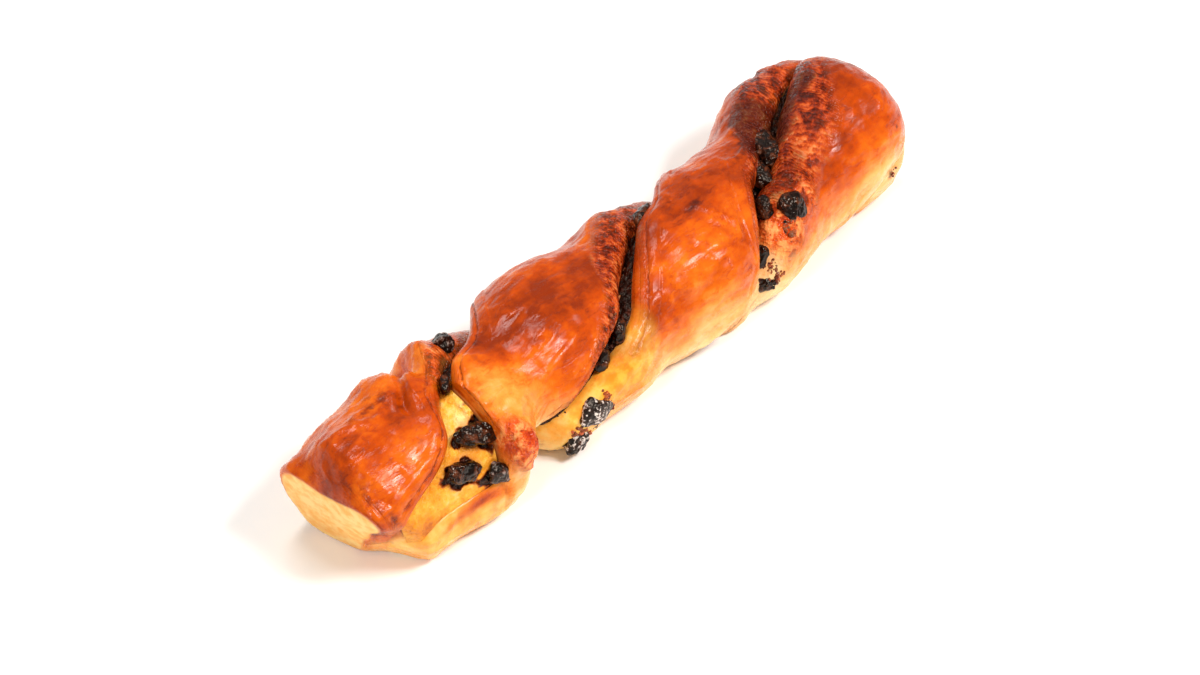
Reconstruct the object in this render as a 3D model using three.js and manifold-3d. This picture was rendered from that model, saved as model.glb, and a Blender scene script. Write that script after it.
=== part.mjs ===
// A chocolate twist: one strip of laminated dough, folded over custard and dark chocolate drops, then twisted
// about its own length and baked. It lies on its flat underside. +X runs along the twist, +Z is up, and the
// origin is on the table under the middle. Lengths are millimetres and angles are degrees.
//
// A section across the strip is two layers of dough with the filling between them. Both long cut edges of this
// sandwich stay open, so two seams wind round the outside. The angle of a seam is counted from the front side
// (-Y) over the top (90) to the back (180) and on under the strip.
import * as THREE from "three";
import { mergeVertices } from "three/addons/utils/BufferGeometryUtils.js";
import Module from "manifold-3d";

// Driving sizes of the baked strip
const LENGTH = 204;
const MIDDLE = 103.3; // half-way between the outermost points of the two ends
const HALF_WIDTH = 20.6;
const AXIS_HEIGHT = 16;
const TOP_RISE = 18.2;
const BELLY = 19.6; // depth of the round underside, before the table flattens it
const TOP_SQUARENESS = 2.2; // exponent of the section's upper curve, 2 is an ellipse
const BELLY_SQUARENESS = 2.5;
const PUFF = 1.7; // how far each layer swells between its two cut edges
const SPREAD = 3; // thickness of the custard where the strip lies open
const FILLING_HALF = 1.7; // half of the filling's thickness inside
const CLEARANCE = 0.3; // left between neighbouring pieces
const SLOT = [5, 192]; // where the open sandwich starts and ends, from the left end
const CORNER = 2.2; // rounds the change from the side to the flat underside
const END_SLANT = 10; // the left end is cut so that its foot lies this far in
const END_SLANT_REACH = 26;
const END_SKEW = 0.4; // share by which the foot lies further in at the front and less at the back
const DOME = 17; // length of the rounded right end

const RAD = Math.PI / 180;

// A smooth curve through hand-laid [position, value] pairs that never swings past them.
function throughPoints(pairs) {
  const n = pairs.length;
  const slope = [];
  for (let i = 0; i < n - 1; i++) {
    slope.push((pairs[i + 1][1] - pairs[i][1]) / (pairs[i + 1][0] - pairs[i][0]));
  }
  const tangent = pairs.map((_, i) => {
    if (i === 0) return slope[0];
    if (i === n - 1) return slope[n - 2];
    const [a, b] = [slope[i - 1], slope[i]];
    return a * b <= 0 ? 0 : (2 * a * b) / (a + b);
  });
  return (at) => {
    if (at <= pairs[0][0]) return pairs[0][1];
    if (at >= pairs[n - 1][0]) return pairs[n - 1][1];
    let i = 0;
    while (at > pairs[i + 1][0]) i++;
    const step = pairs[i + 1][0] - pairs[i][0];
    const t = (at - pairs[i][0]) / step;
    const [t2, t3] = [t * t, t * t * t];
    return (
      (2 * t3 - 3 * t2 + 1) * pairs[i][1] +
      (t3 - 2 * t2 + t) * step * tangent[i] +
      (3 * t2 - 2 * t3) * pairs[i + 1][1] +
      (t3 - t2) * step * tangent[i + 1]
    );
  };
}

const mix = (a, b, t) => a + (b - a) * t;
const clamp01 = (t) => Math.min(1, Math.max(0, t));

// Along the strip, as [distance from the left end, value]

// The two seams' angles. The strip is laid by hand, so its twist is quick under the strip and slow on top.
const seamOpen = throughPoints([
  [0, -62], [2, -30], [3.8, 0], [6, 12], [12, 18], [18, 23], [25, 30], [32, 44], [38, 74], [44, 97],
  [48, 108], [57, 122], [71, 165], [86, 215], [101, 265], [116, 310], [132, 346], [139, 381], [145, 412],
  [150, 432], [157, 442], [161, 451], [166, 457], [175, 471], [183, 484], [204, 500],
]);
const seamShut = throughPoints([
  [0, -150], [18, -118], [38, -86], [50, -62], [59, -40], [62.5, -20], [66, -4], [70, 4], [76, 12],
  [86, 25], [94, 40], [100, 61], [107, 85], [115, 109], [127, 138], [146, 195], [160, 258], [174, 305],
  [184, 338], [190, 352], [204, 362],
]);
// Where the strip gapes at its left end, layer one's edge stays low and then jumps up to the seam.
const GAPE_END = 40.6;
const GAPE_CLOSES = 3.2;
const gapeEdge = throughPoints([
  [0, -80], [2, -50], [4, -22], [7, -12], [10, -9], [24, -3], [36, -3], [56, -2],
]);
// Half of the open width of each seam
const gapOpen = throughPoints([[0, 0.6], [5, 0.6], [9, 1.5], [182, 1.5], [190, 0.6], [204, 0.6]]);
const gapShut = throughPoints([[0, 0.6], [4, 0.6], [10, 1.5], [172, 1.5], [184, 0.6], [204, 0.6]]);
// Exposed width of each layer's cut edge at the two seams
const edgeOneOpen = throughPoints([
  [0, 5], [40, 4], [48, 2.4], [70, 2.4], [132, 5], [146, 9], [176, 11], [204, 4],
]);
const edgeTwoOpen = throughPoints([
  [0, 3], [41, 3], [57, 6], [136, 3], [152, 4], [164, 10], [184, 11], [204, 4],
]);
const edgeOneShut = throughPoints([
  [0, 3], [54, 2], [71, 4], [86, 7], [111, 8], [128, 6], [146, 4], [204, 3],
]);
const edgeTwoShut = throughPoints([[0, 3], [46, 4], [64, 5], [88, 4], [122, 3], [204, 3]]);
// Depth of the four rims below the crust
const rimOneOpen = throughPoints([
  [0, 0.3], [6, 0.5], [14, 1], [38, 1.2], [44, 2.4], [56, 2.6], [75, 3], [134, 6], [148, 8], [162, 10],
  [182, 7], [204, 1],
]);
const rimTwoOpen = throughPoints([
  [0, 0.3], [6, 0.5], [16, 2.6], [38, 3.4], [48, 5.5], [57, 7], [75, 6], [134, 4.5], [148, 6], [162, 9],
  [182, 6], [204, 1],
]);
const rimOneShut = throughPoints([
  [0, 0], [4, 0.2], [12, 2.6], [54, 3], [71, 5], [88, 7], [111, 7], [128, 6], [172, 4], [185, 0.3],
  [204, 0],
]);
const rimTwoShut = throughPoints([
  [0, 0], [4, 0.2], [12, 2.6], [54, 3.4], [88, 4], [98, 3], [111, 3], [128, 4], [172, 4], [185, 0.3],
  [204, 0],
]);
// Depth below each seam at which the full thickness of the filling begins
const depthOpen = throughPoints([
  [0, 2.5], [8, 4], [40, 4.5], [57, 6], [134, 6], [148, 8], [162, 10], [182, 7], [204, 1],
]);
const depthShut = throughPoints([
  [0, 1.5], [36, 3], [54, 4], [71, 5], [88, 7.5], [111, 8], [128, 6], [181, 4], [204, 1],
]);
// Sideways sway of the middle line, and the strip's girth
const sway = throughPoints([
  [0, -1.9], [24, -2.1], [42, -2.3], [56, -1.8], [78, -0.2], [92, -1.8], [113, -1.4], [126, -4.2],
  [136, -3.2], [145, -4.5], [156, -3.1], [164, -0.2], [174, 2.4], [190, 2.3], [204, -1.6],
]);
const girth = throughPoints([
  [0, 0.88], [12, 0.91], [24, 0.92], [36, 0.97], [48, 1.01], [62, 0.94], [76, 1.02], [88, 0.98],
  [102, 0.89], [118, 1], [128, 0.98], [146, 0.89], [156, 0.86], [166, 0.93], [176, 1.03], [190, 1.06], [204, 1.05],
]);
// Hollows and swellings of single places: [distance, angle, reach along, reach in degrees, height]
const LUMPS = [
  [58, -25, 6, 60, -8],
  [48, 26, 6, 18, 2],
  [6, 140, 7, 26, -2],
  [32, 142, 6, 26, 2],
  [41, 140, 2.4, 24, -5],
  [47, 131, 3.6, 24, 2.8],
  [14, -40, 8, 30, 1],
];

// The left end's corners are cut off at a slant: [angle, half width in degrees, depth].
const BEVELS = [[96, 48, 9], [-28, 46, 10]];
const BEVEL_REACH = 9;

// How full the section is at a distance from the left end: 1 along the strip, less over the rounded ends.
const EDGE_ROUND = 2.4;
function fullness(s) {
  const fromRight = LENGTH - s;
  if (fromRight < DOME) {
    const t = 1 - fromRight / DOME;
    return Math.pow(Math.max(0, 1 - Math.pow(t, 2.3)), 1 / 2.3);
  }
  if (s < EDGE_ROUND) return 0.93 + 0.07 * Math.sqrt(1 - Math.pow(1 - s / EDGE_ROUND, 2));
  return 1;
}

// Radius of the plain body about its middle line
function bodyRadius(s, angle) {
  const c = Math.abs(Math.cos(angle * RAD));
  const q = Math.sin(angle * RAD);
  const [rise, n] = q > 0 ? [TOP_RISE, TOP_SQUARENESS] : [BELLY, BELLY_SQUARENESS];
  const unit = Math.pow(Math.pow(c / HALF_WIDTH, n) + Math.pow(Math.abs(q) / rise, n), -1 / n);
  let lumps = 0;
  for (const [at, towards, along, around, height] of LUMPS) {
    const turned = angle - towards - 360 * Math.round((angle - towards) / 360);
    lumps += height * Math.exp(-Math.pow((s - at) / along, 2) - Math.pow(turned / around, 2));
  }
  for (const [towards, wide, deep] of BEVELS) {
    const turned = angle - towards - 360 * Math.round((angle - towards) / 360);
    lumps -= deep * Math.pow(clamp01(1 - s / BEVEL_REACH), 1.5) * Math.exp(-Math.pow(turned / wide, 4));
  }
  return (unit * girth(s) + lumps) * fullness(s);
}

// The degrees that an across-the-seam width covers, on a seam that slants by its own twist
function degreesAcross(width, s, seam) {
  const radius = bodyRadius(s, seam(s));
  const slant = radius * RAD * (seam(s + 1) - seam(s - 1)) * 0.5;
  return (Math.min(width * Math.sqrt(1 + slant * slant), width * 2.4) / Math.max(radius, 4)) / RAD;
}

// The four edges of the two layers, as angles
function edges(s) {
  const openGap = degreesAcross(gapOpen(s), s, seamOpen);
  const shutGap = degreesAcross(gapShut(s), s, seamShut);
  const shut = seamShut(s);
  const open = seamOpen(s);
  const closed = clamp01((s - GAPE_END) / GAPE_CLOSES);
  return {
    oneShut: shut + shutGap,
    oneOpen: Math.min(open - openGap, mix(gapeEdge(s), open - openGap, closed)),
    twoOpen: open + openGap,
    twoShut: shut + 360 - shutGap,
  };
}

// The dough sags flat on the table, with a soft corner
const onTable = (z) => (z > CORNER ? z : Math.pow(Math.max(0, z + CORNER), 2) / (4 * CORNER));

// A point of the section at a radius and an angle, on the table at the lowest, with the left end's slant
function place(s, angle, radius) {
  const y = sway(s) - radius * Math.cos(angle * RAD);
  const z = onTable(AXIS_HEIGHT + radius * Math.sin(angle * RAD));
  const low = 1 - z / (AXIS_HEIGHT + TOP_RISE);
  const skew = 1 - (END_SKEW * y) / HALF_WIDTH;
  const reach = clamp01(1 - s / END_SLANT_REACH);
  return [s + END_SLANT * low * skew * reach * reach * (3 - 2 * reach) - MIDDLE, y, z];
}

// The outside of one layer: from its first cut edge over the swollen crust to its second
const EDGE_STEPS = [0, 0.14, 0.45, 1];
const CRUST_STEPS = 6;
function crust(s, from, to, edgeFrom, edgeTo, depthFrom, depthTo, seamFrom, seamTo) {
  const span = to - from;
  const widthFrom = Math.min(degreesAcross(edgeFrom, s, seamFrom), span * 0.42);
  const widthTo = Math.min(degreesAcross(edgeTo, s, seamTo), span * 0.42);
  const along = [];
  for (const f of EDGE_STEPS) along.push([from + widthFrom * f, depthFrom * (1 - rounded(f))]);
  for (let i = 1; i < CRUST_STEPS; i++) {
    along.push([mix(from + widthFrom, to - widthTo, i / CRUST_STEPS), 0]);
  }
  for (const f of [...EDGE_STEPS].reverse()) along.push([to - widthTo * f, depthTo * (1 - rounded(f))]);
  const full = fullness(s);
  return along.map(([angle, depth]) => {
    const swell = PUFF * Math.sin(Math.PI * clamp01((angle - from) / span));
    return [angle, bodyRadius(s, angle) + (swell - depth) * full];
  });
}
const rounded = (f) => Math.sqrt(1 - (1 - f) * (1 - f));

// The inside faces of the sandwich run along a bent line from one seam through the middle to the other.
const BEND_STEPS = 3;
const LEG_STEPS = 3;
const insideCount = BEND_STEPS + 1 + 2 * (LEG_STEPS - 1);
function bend(s, t, offset) {
  const at = (seam, depth) => {
    const angle = seam(s) * RAD;
    const r = bodyRadius(s, seam(s)) - depth(s) - SPREAD - 1;
    return [r * Math.cos(angle), r * Math.sin(angle)];
  };
  const a = at(seamShut, depthShut);
  const b = at(seamOpen, depthOpen);
  const p = [0, 1].map((k) => (1 - t) * (1 - t) * a[k] + t * t * b[k]);
  const d = [0, 1].map((k) => -2 * (1 - t) * a[k] + 2 * t * b[k]);
  const long = Math.hypot(d[0], d[1]);
  const q = [p[0] + (d[1] / long) * offset, p[1] - (d[0] / long) * offset];
  return [Math.atan2(q[1], q[0]) / RAD, Math.hypot(q[0], q[1])];
}
const nearest = (angle, target) => angle + 360 * Math.round((target - angle) / 360);

// From a rim [angle, radius] down to the bent line's end. The custard thins out towards the rim.
function leg(rim, foot) {
  const points = [];
  for (let i = 1; i < LEG_STEPS; i++) {
    const f = i / LEG_STEPS;
    points.push([mix(rim[0], nearest(foot[0], rim[0]), f), mix(rim[1], foot[1], 1 - (1 - f) * (1 - f))]);
  }
  return points;
}

// Points of an inside face between its two rims, from the open seam to the shut one. It lies `half` away from
// the bent line, towards layer one for a positive value, and its feet are moved out by `lift`.
function insideFace(s, openRim, shutRim, half, lift = 0) {
  const bent = [];
  for (let i = BEND_STEPS; i >= 0; i--) {
    const [angle, radius] = bend(s, i / BEND_STEPS, half);
    bent.push([angle, radius + (i % BEND_STEPS === 0 ? lift : 0)]);
  }
  return [...leg(openRim, bent[0]), ...bent, ...leg(shutRim, bent[bent.length - 1]).reverse()];
}

// One closed mesh from rings, walls and caps, given as lists of points and triangles
class Shell {
  constructor() {
    this.points = [];
    this.faces = [];
  }
  add(list) {
    return list.map((p) => this.points.push(p) - 1);
  }
  // A strip between two equally long rows of points, split along the same diagonals whichever way it faces
  strip(rowA, rowB, inward = false) {
    for (let i = 0; i < rowA.length - 1; i++) {
      const [a, b, c, d] = [rowA[i], rowA[i + 1], rowB[i + 1], rowB[i]];
      this.faces.push(...(inward ? [[a, b, c], [a, c, d]] : [[a, c, b], [a, d, c]]));
    }
  }
  // A small flat face round a row of points
  polygon(row, inward) {
    for (let i = 1; i < row.length - 1; i++) {
      this.faces.push(inward ? [row[0], row[i + 1], row[i]] : [row[0], row[i], row[i + 1]]);
    }
  }
  // A closed ring's end, filled towards its middle point, which is moved along by `bulge`
  cap(ring, inward, bulge) {
    const middle = new THREE.Vector3();
    ring.slice(1).forEach((i) => middle.add(new THREE.Vector3(...this.points[i])));
    middle.divideScalar(ring.length - 1);
    middle.x += bulge;
    const [centre] = this.add([middle.toArray()]);
    for (let i = 0; i < ring.length - 1; i++) {
      this.faces.push(inward ? [ring[i + 1], ring[i], centre] : [ring[i], ring[i + 1], centre]);
    }
  }
  geometry() {
    const flat = this.faces.flatMap((face) => face.flatMap((i) => this.points[i]));
    const made = new THREE.BufferGeometry();
    made.setAttribute("position", new THREE.Float32BufferAttribute(flat, 3));
    return mergeVertices(made, 1e-3);
  }
}

const TIP = 0.35; // what the last cap adds at the right end

// Stations along the strip, closer together where it twists quickly, where the gape closes and at the ends
const LONGEST_STEP = 9;
const STEP_TURN = 24; // degrees of twist that take one more station
function stations() {
  const list = [0, 0.9, 2.4, SLOT[0]];
  const even = (from, to, n) => {
    for (let i = 1; i <= n; i++) list.push(mix(from, to, i / n));
  };
  const byTwist = (from, to) => {
    const crowding = (s) => {
      const turn = Math.max(seamOpen(s + 0.5) - seamOpen(s - 0.5), seamShut(s + 0.5) - seamShut(s - 0.5));
      return 1 / LONGEST_STEP + turn / STEP_TURN;
    };
    let total = 0;
    for (let s = from; s < to; s += 0.1) total += crowding(s) * 0.1;
    const n = Math.round(total);
    let sum = 0;
    let made = 1;
    for (let s = from; s < to && made < n; s += 0.1) {
      sum += crowding(s) * 0.1;
      if (sum < (made * total) / n) continue;
      list.push(s);
      made += 1;
    }
    list.push(to);
  };
  byTwist(SLOT[0], GAPE_END - 2);
  even(GAPE_END - 2, GAPE_END + GAPE_CLOSES + 3, 5);
  byTwist(GAPE_END + GAPE_CLOSES + 3, SLOT[1] - 8);
  even(SLOT[1] - 8, SLOT[1], 3);
  list.push(LENGTH - 6, LENGTH - 3.2, LENGTH - 1.4, LENGTH - TIP);
  return list;
}
const STATIONS = stations();
const inSlot = (s) => s >= SLOT[0] - 1e-6 && s <= SLOT[1] + 1e-6;

function layerOne(s) {
  const e = edges(s);
  const widths = [edgeOneShut(s), edgeOneOpen(s)];
  const rims = [rimOneShut(s), rimOneOpen(s)];
  return crust(s, e.oneShut, e.oneOpen, ...widths, ...rims, seamShut, seamOpen);
}
function layerTwo(s) {
  const e = edges(s);
  const widths = [edgeTwoOpen(s), edgeTwoShut(s)];
  const rims = [rimTwoOpen(s), rimTwoShut(s)];
  return crust(s, e.twoOpen, e.twoShut, ...widths, ...rims, seamOpen, seamShut);
}

// The dough: two layers that are one piece at both ends of the strip
function doughGeometry() {
  const shell = new Shell();
  const rows = STATIONS.map((s) => {
    const put = (list) => shell.add(list.map(([angle, radius]) => place(s, angle, radius)));
    const one = layerOne(s);
    const two = layerTwo(s);
    const row = { s, one: put(one), two: put(two) };
    if (inSlot(s)) {
      const last = (list) => list[list.length - 1];
      const faceOne = put(insideFace(s, last(one), one[0], FILLING_HALF));
      const faceTwo = put(insideFace(s, two[0], last(two), -FILLING_HALF));
      row.insideOne = [last(row.one), ...faceOne, row.one[0]];
      row.insideTwo = [row.two[0], ...faceTwo, last(row.two)];
    }
    return row;
  });
  for (let i = 0; i < rows.length - 1; i++) {
    const [a, b] = [rows[i], rows[i + 1]];
    shell.strip(b.one, a.one, true);
    shell.strip(b.two, a.two, true);
    if (a.insideOne && b.insideOne) {
      shell.strip(a.insideOne, b.insideOne);
      shell.strip(b.insideTwo, a.insideTwo);
    } else {
      const bridge = (row) => [
        [row.one[row.one.length - 1], row.two[0]],
        [row.two[row.two.length - 1], row.one[0]],
      ];
      bridge(a).forEach((pair, k) => shell.strip(pair, bridge(b)[k]));
    }
  }
  const slotRows = rows.filter((row) => row.insideOne);
  shell.strip(slotRows[0].insideTwo, slotRows[0].insideOne);
  const lastSlot = slotRows[slotRows.length - 1];
  shell.strip(lastSlot.insideOne, lastSlot.insideTwo);
  const ring = (row) => [...row.one, ...row.two, row.one[0]];
  shell.cap(ring(rows[0]), false, 0);
  shell.cap(ring(rows[rows.length - 1]), true, TIP);
  return shell.geometry();
}

// The filling: a band of custard from seam to seam through the whole slot, open along both
const TOP_STEPS = 3;
const TOP_SWELL = 0.4;
function fillingGeometry() {
  const shell = new Shell();
  const ringAt = (s) => {
    const e = edges(s);
    const ahead = edges(s + CLEARANCE * 3);
    const rim = (angle, depth, way) => {
      const radius = bodyRadius(s, angle) - depth * fullness(s);
      return [angle + (way * CLEARANCE) / radius / RAD, radius + CLEARANCE];
    };
    const openOne = rim(Math.max(e.oneOpen, ahead.oneOpen), rimOneOpen(s), 1);
    const openTwo = rim(e.twoOpen, rimTwoOpen(s), -1);
    const shutTwo = rim(e.twoShut, rimTwoShut(s), 1);
    const shutOne = rim(e.oneShut + 360, rimOneShut(s), -1);
    const top = (a, b) => {
      const list = [];
      for (let i = 0; i <= TOP_STEPS; i++) {
        const f = i / TOP_STEPS;
        list.push([mix(a[0], b[0], f), mix(a[1], b[1], f) + TOP_SWELL * 4 * f * (1 - f)]);
      }
      return list;
    };
    const half = FILLING_HALF - CLEARANCE;
    const sideOne = insideFace(s, openOne, shutOne, half, CLEARANCE);
    const sideTwo = insideFace(s, openTwo, shutTwo, -half, CLEARANCE);
    const lists = [top(openTwo, openOne), sideOne, top(shutOne, shutTwo), sideTwo.reverse()];
    return lists.flat().map(([angle, radius]) => place(s, angle, radius));
  };
  const rings = STATIONS.filter(inSlot).map(ringAt);
  const shorten = (ring, next, step) => {
    const f = CLEARANCE / step;
    return ring.map((p, i) => p.map((v, k) => mix(v, next[i][k], f)));
  };
  const last = rings.length - 1;
  const first = shorten(rings[0], rings[1], STATIONS.filter(inSlot)[1] - SLOT[0]);
  rings[last] = shorten(rings[last], rings[last - 1], SLOT[1] - STATIONS.filter(inSlot)[last - 1]);
  rings[0] = first;
  const rows = rings.map((list) => {
    const ring = shell.add(list);
    return [...ring, ring[0]];
  });
  for (let i = 0; i < last; i++) shell.strip(rows[i], rows[i + 1], true);
  // The ends are ladders between the band's two sides, closed by the strips along both seams.
  const across = TOP_STEPS + 1;
  const side = insideCount + 2;
  for (const [row, inward] of [[rows[0], true], [rows[last], false]]) {
    const sideOne = row.slice(across - 1, across - 1 + side);
    const sideTwo = row.slice(2 * across + insideCount - 1).reverse();
    shell.strip(sideOne, sideTwo, !inward);
    shell.polygon(row.slice(0, across), inward);
    shell.polygon(row.slice(across + insideCount, 2 * across + insideCount), inward);
  }
  return shell.geometry();
}

// Dark chocolate drops, softened in the oven and set again. Each is [distance, angle, depth below the plain
// body, length, width, thickness, turn of its length away from the strip's own direction].
const DROPS = [
  [39.4, 41, 1.9, 10.6, 5, 4.4, -23],
  [31.1, 23, 2, 9.4, 4.8, 4, -26],
  [41, 4.5, 1.4, 8.2, 5.4, 4.2, -31],
  [42.4, 92, 1.6, 6, 2.2, 3, 50],
  [53.6, 129, 0.8, 5, 4.4, 5, 20],
  [75.2, -12, 1, 10.4, 8, 5.4, -31],
  [69.6, -31, -0.2, 6, 5.6, 5.4, 70],
  [82, 21, 4.2, 6, 3.6, 4.2, 50],
  [90, 34, 4.6, 6, 3.6, 4.4, 55],
  [119.6, 114, 2.4, 9, 3.8, 4.4, 35],
  [152, 35, 0.9, 8, 7.6, 5, 0],
  [146.4, 50, 4.4, 6, 3.8, 4.4, 70],
  [138.6, -16, 1.4, 4.4, 4, 4, 0],
  [139.4, 6, 4, 6, 3.6, 4.2, 70],
  [155, 82, 5.6, 8, 4.6, 5, 65],
  [163, 97, 5.4, 12, 6.6, 5.6, 60],
  [82, 202, 2.2, 6, 5, 5, 40],
  [147, 200, 2.4, 6, 5, 5, 60],
];

// A lump with flattened sides, uneven by a fixed sum of waves so that no two drops are alike
function dropGeometry(drop, index, grown) {
  const [s, angle, depth, length, width, thickness, turn] = drop;
  const ball = new THREE.IcosahedronGeometry(1, 1);
  ball.deleteAttribute("normal");
  ball.deleteAttribute("uv");
  const lump = mergeVertices(ball, 1e-4);
  const at = lump.getAttribute("position");
  const half = [length / 2 + grown, width / 2 + grown, thickness / 2 + grown];
  for (let i = 0; i < at.count; i++) {
    const p = [at.getX(i), at.getY(i), at.getZ(i)];
    const boxy = Math.pow(p.reduce((sum, v) => sum + Math.pow(Math.abs(v), 3), 0), -1 / 3);
    const uneven = 1 + 0.07 * Math.sin(3.1 * p[0] + 2.3 * p[1] + 4.7 * p[2] + 1.9 * index);
    at.setXYZ(i, ...p.map((v, k) => v * boxy * uneven * half[k]));
  }
  const around = new THREE.Vector3(0, Math.sin(angle * RAD), Math.cos(angle * RAD));
  const out = new THREE.Vector3(0, -Math.cos(angle * RAD), Math.sin(angle * RAD));
  const along = new THREE.Vector3().crossVectors(around, out);
  const set = new THREE.Matrix4().makeBasis(along, around, out);
  set.multiply(new THREE.Matrix4().makeRotationZ(turn * RAD));
  set.setPosition(...place(s, angle, bodyRadius(s, angle) - depth));
  return lump.applyMatrix4(set);
}

// Closed solids for cutting
const wasm = await Module();
wasm.setup();
function solid(geometry) {
  const vertProperties = new Float32Array(geometry.getAttribute("position").array);
  const triVerts = new Uint32Array(geometry.index.array);
  return new wasm.Manifold(new wasm.Mesh({ numProp: 3, vertProperties, triVerts }));
}
function mesh(name, cut, material) {
  const { vertProperties, triVerts } = cut.getMesh();
  const geometry = new THREE.BufferGeometry();
  geometry.setAttribute("position", new THREE.BufferAttribute(vertProperties, 3));
  geometry.setIndex(new THREE.BufferAttribute(triVerts, 1));
  geometry.computeVertexNormals();
  const made = new THREE.Mesh(geometry, material);
  made.name = name;
  return made;
}

const crustLook = new THREE.MeshStandardMaterial({ color: 0xd26424, roughness: 0.4, metalness: 0 });
const custardLook = new THREE.MeshStandardMaterial({ color: 0xe9a345, roughness: 0.25, metalness: 0 });
const chocolateLook = new THREE.MeshStandardMaterial({ color: 0x3a2119, roughness: 0.35, metalness: 0 });

let dough = solid(doughGeometry());
let filling = solid(fillingGeometry());
const twist = new THREE.Group();
DROPS.forEach((drop, i) => {
  const pocket = solid(dropGeometry(drop, i, CLEARANCE));
  dough = dough.subtract(pocket);
  filling = filling.subtract(pocket);
  const name = `chocolate_${String(i + 1).padStart(2, "0")}`;
  twist.add(mesh(name, solid(dropGeometry(drop, i, 0)), chocolateLook));
});
twist.add(mesh("dough", dough, crustLook));
twist.add(mesh("filling", filling, custardLook));

export default twist;
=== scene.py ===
# %% [markdown]
# # A chocolate twist
#
# The pastry is one strip of laminated dough, folded over custard and dark chocolate drops, twisted by hand
# and baked. Its solids were made before in a CAD program, and this lesson dresses them: the crust, the
# custard and the drops get the fine shape and the finish that the plain solids can't have. All lengths in
# the shape cells are millimetres, and the meshes are scaled to metres when they are made.

import bmesh
import bpy
import numpy as np
from mathutils import Matrix, Vector


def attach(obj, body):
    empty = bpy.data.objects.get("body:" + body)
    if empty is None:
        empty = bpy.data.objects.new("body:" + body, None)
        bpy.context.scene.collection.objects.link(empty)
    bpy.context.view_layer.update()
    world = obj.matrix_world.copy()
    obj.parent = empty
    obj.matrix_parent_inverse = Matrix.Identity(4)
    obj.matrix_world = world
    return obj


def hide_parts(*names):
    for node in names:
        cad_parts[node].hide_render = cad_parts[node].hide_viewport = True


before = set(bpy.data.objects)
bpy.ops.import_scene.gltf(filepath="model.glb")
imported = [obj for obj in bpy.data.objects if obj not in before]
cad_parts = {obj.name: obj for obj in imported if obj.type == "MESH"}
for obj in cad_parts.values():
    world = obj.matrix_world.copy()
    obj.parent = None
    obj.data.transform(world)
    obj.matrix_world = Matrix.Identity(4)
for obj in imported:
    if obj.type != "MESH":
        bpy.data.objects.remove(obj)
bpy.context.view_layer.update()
print("solids:", sorted(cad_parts))

# %% [markdown]
# ## Camera, light and table
#
# The picture is taken from 45 degrees above the table, from the front left, with a long lens. Three numbers
# place the camera: how high it stands, how far round it stands, and how far away. Bakery pictures are lit
# softly from almost everywhere, so a pale world fills the shadows, and three small area lights give the
# glaze bright glints to mirror.

# %% Camera
IMAGE = (1200, 675)
LENS = 120.0
SENSOR = 36.0
DISTANCE = 1000.0
ELEVATION = np.radians(45.0)
ROUND = np.radians(47.4)
AIM = np.array([-7.3, -2.4, 17.0])
AIM_PIXEL = (598.0, 317.0)

level = np.array([np.sin(ROUND), np.cos(ROUND), 0.0])
right = np.array([np.cos(ROUND), -np.sin(ROUND), 0.0])
upright = np.array([0.0, 0.0, 1.0])
back = -np.cos(ELEVATION) * level + np.sin(ELEVATION) * upright
up = np.sin(ELEVATION) * level + np.cos(ELEVATION) * upright
pixel = DISTANCE * SENSOR / LENS / IMAGE[0]
across = (AIM_PIXEL[0] - IMAGE[0] / 2) * pixel
down = (AIM_PIXEL[1] - IMAGE[1] / 2) * pixel
eye = AIM + back * DISTANCE - right * across + up * down

camera = bpy.data.objects.new("camera", bpy.data.cameras.new("camera"))
camera.data.lens = LENS
camera.data.sensor_width = SENSOR
facing = Matrix([right, up, back]).transposed().to_4x4()
camera.matrix_world = Matrix.Translation(Vector(eye) / 1000) @ facing
bpy.context.scene.collection.objects.link(camera)
bpy.context.scene.camera = camera
print("camera at", [round(v / 1000, 3) for v in eye])

# %% Light
world = bpy.data.worlds.new("studio")
bpy.context.scene.world = world
world.use_nodes = True
sky = world.node_tree.nodes["Background"]
sky.inputs["Color"].default_value = (1.0, 0.985, 0.96, 1.0)
sky.inputs["Strength"].default_value = 0.34


def softbox(name, place, size, watts, colour=(1.0, 0.98, 0.95)):
    """An area light, in metres, that looks at the middle of the pastry."""
    light = bpy.data.lights.new(name, "AREA")
    light.shape = "RECTANGLE"
    light.size, light.size_y = size
    light.energy = watts
    light.color = colour
    lamp = bpy.data.objects.new(name, light)
    lamp.location = place
    lamp.rotation_euler = (Vector((0, 0, 0.02)) - Vector(place)).to_track_quat("-Z", "Y").to_euler()
    bpy.context.scene.collection.objects.link(lamp)
    return lamp


softbox("key", (0.3, -0.55, 0.85), (0.32, 0.26), 10.0)
softbox("left", (-0.75, -0.2, 0.7), (0.2, 0.12), 3.5)
softbox("top", (0.05, 0.35, 0.95), (0.4, 0.2), 4.0)
bpy.context.scene.view_settings.view_transform = "Standard"
bpy.context.scene.view_settings.exposure = 0.0

# %% [markdown]
# ## Finishes as arithmetic
#
# Every finish here is worked out from noise and from numbers stored on the mesh. Node trees are easier to
# read as sums, so one small class wraps an output socket and lets Python's own operators add the Math
# nodes.

# %% Sockets that can be added up


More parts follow.
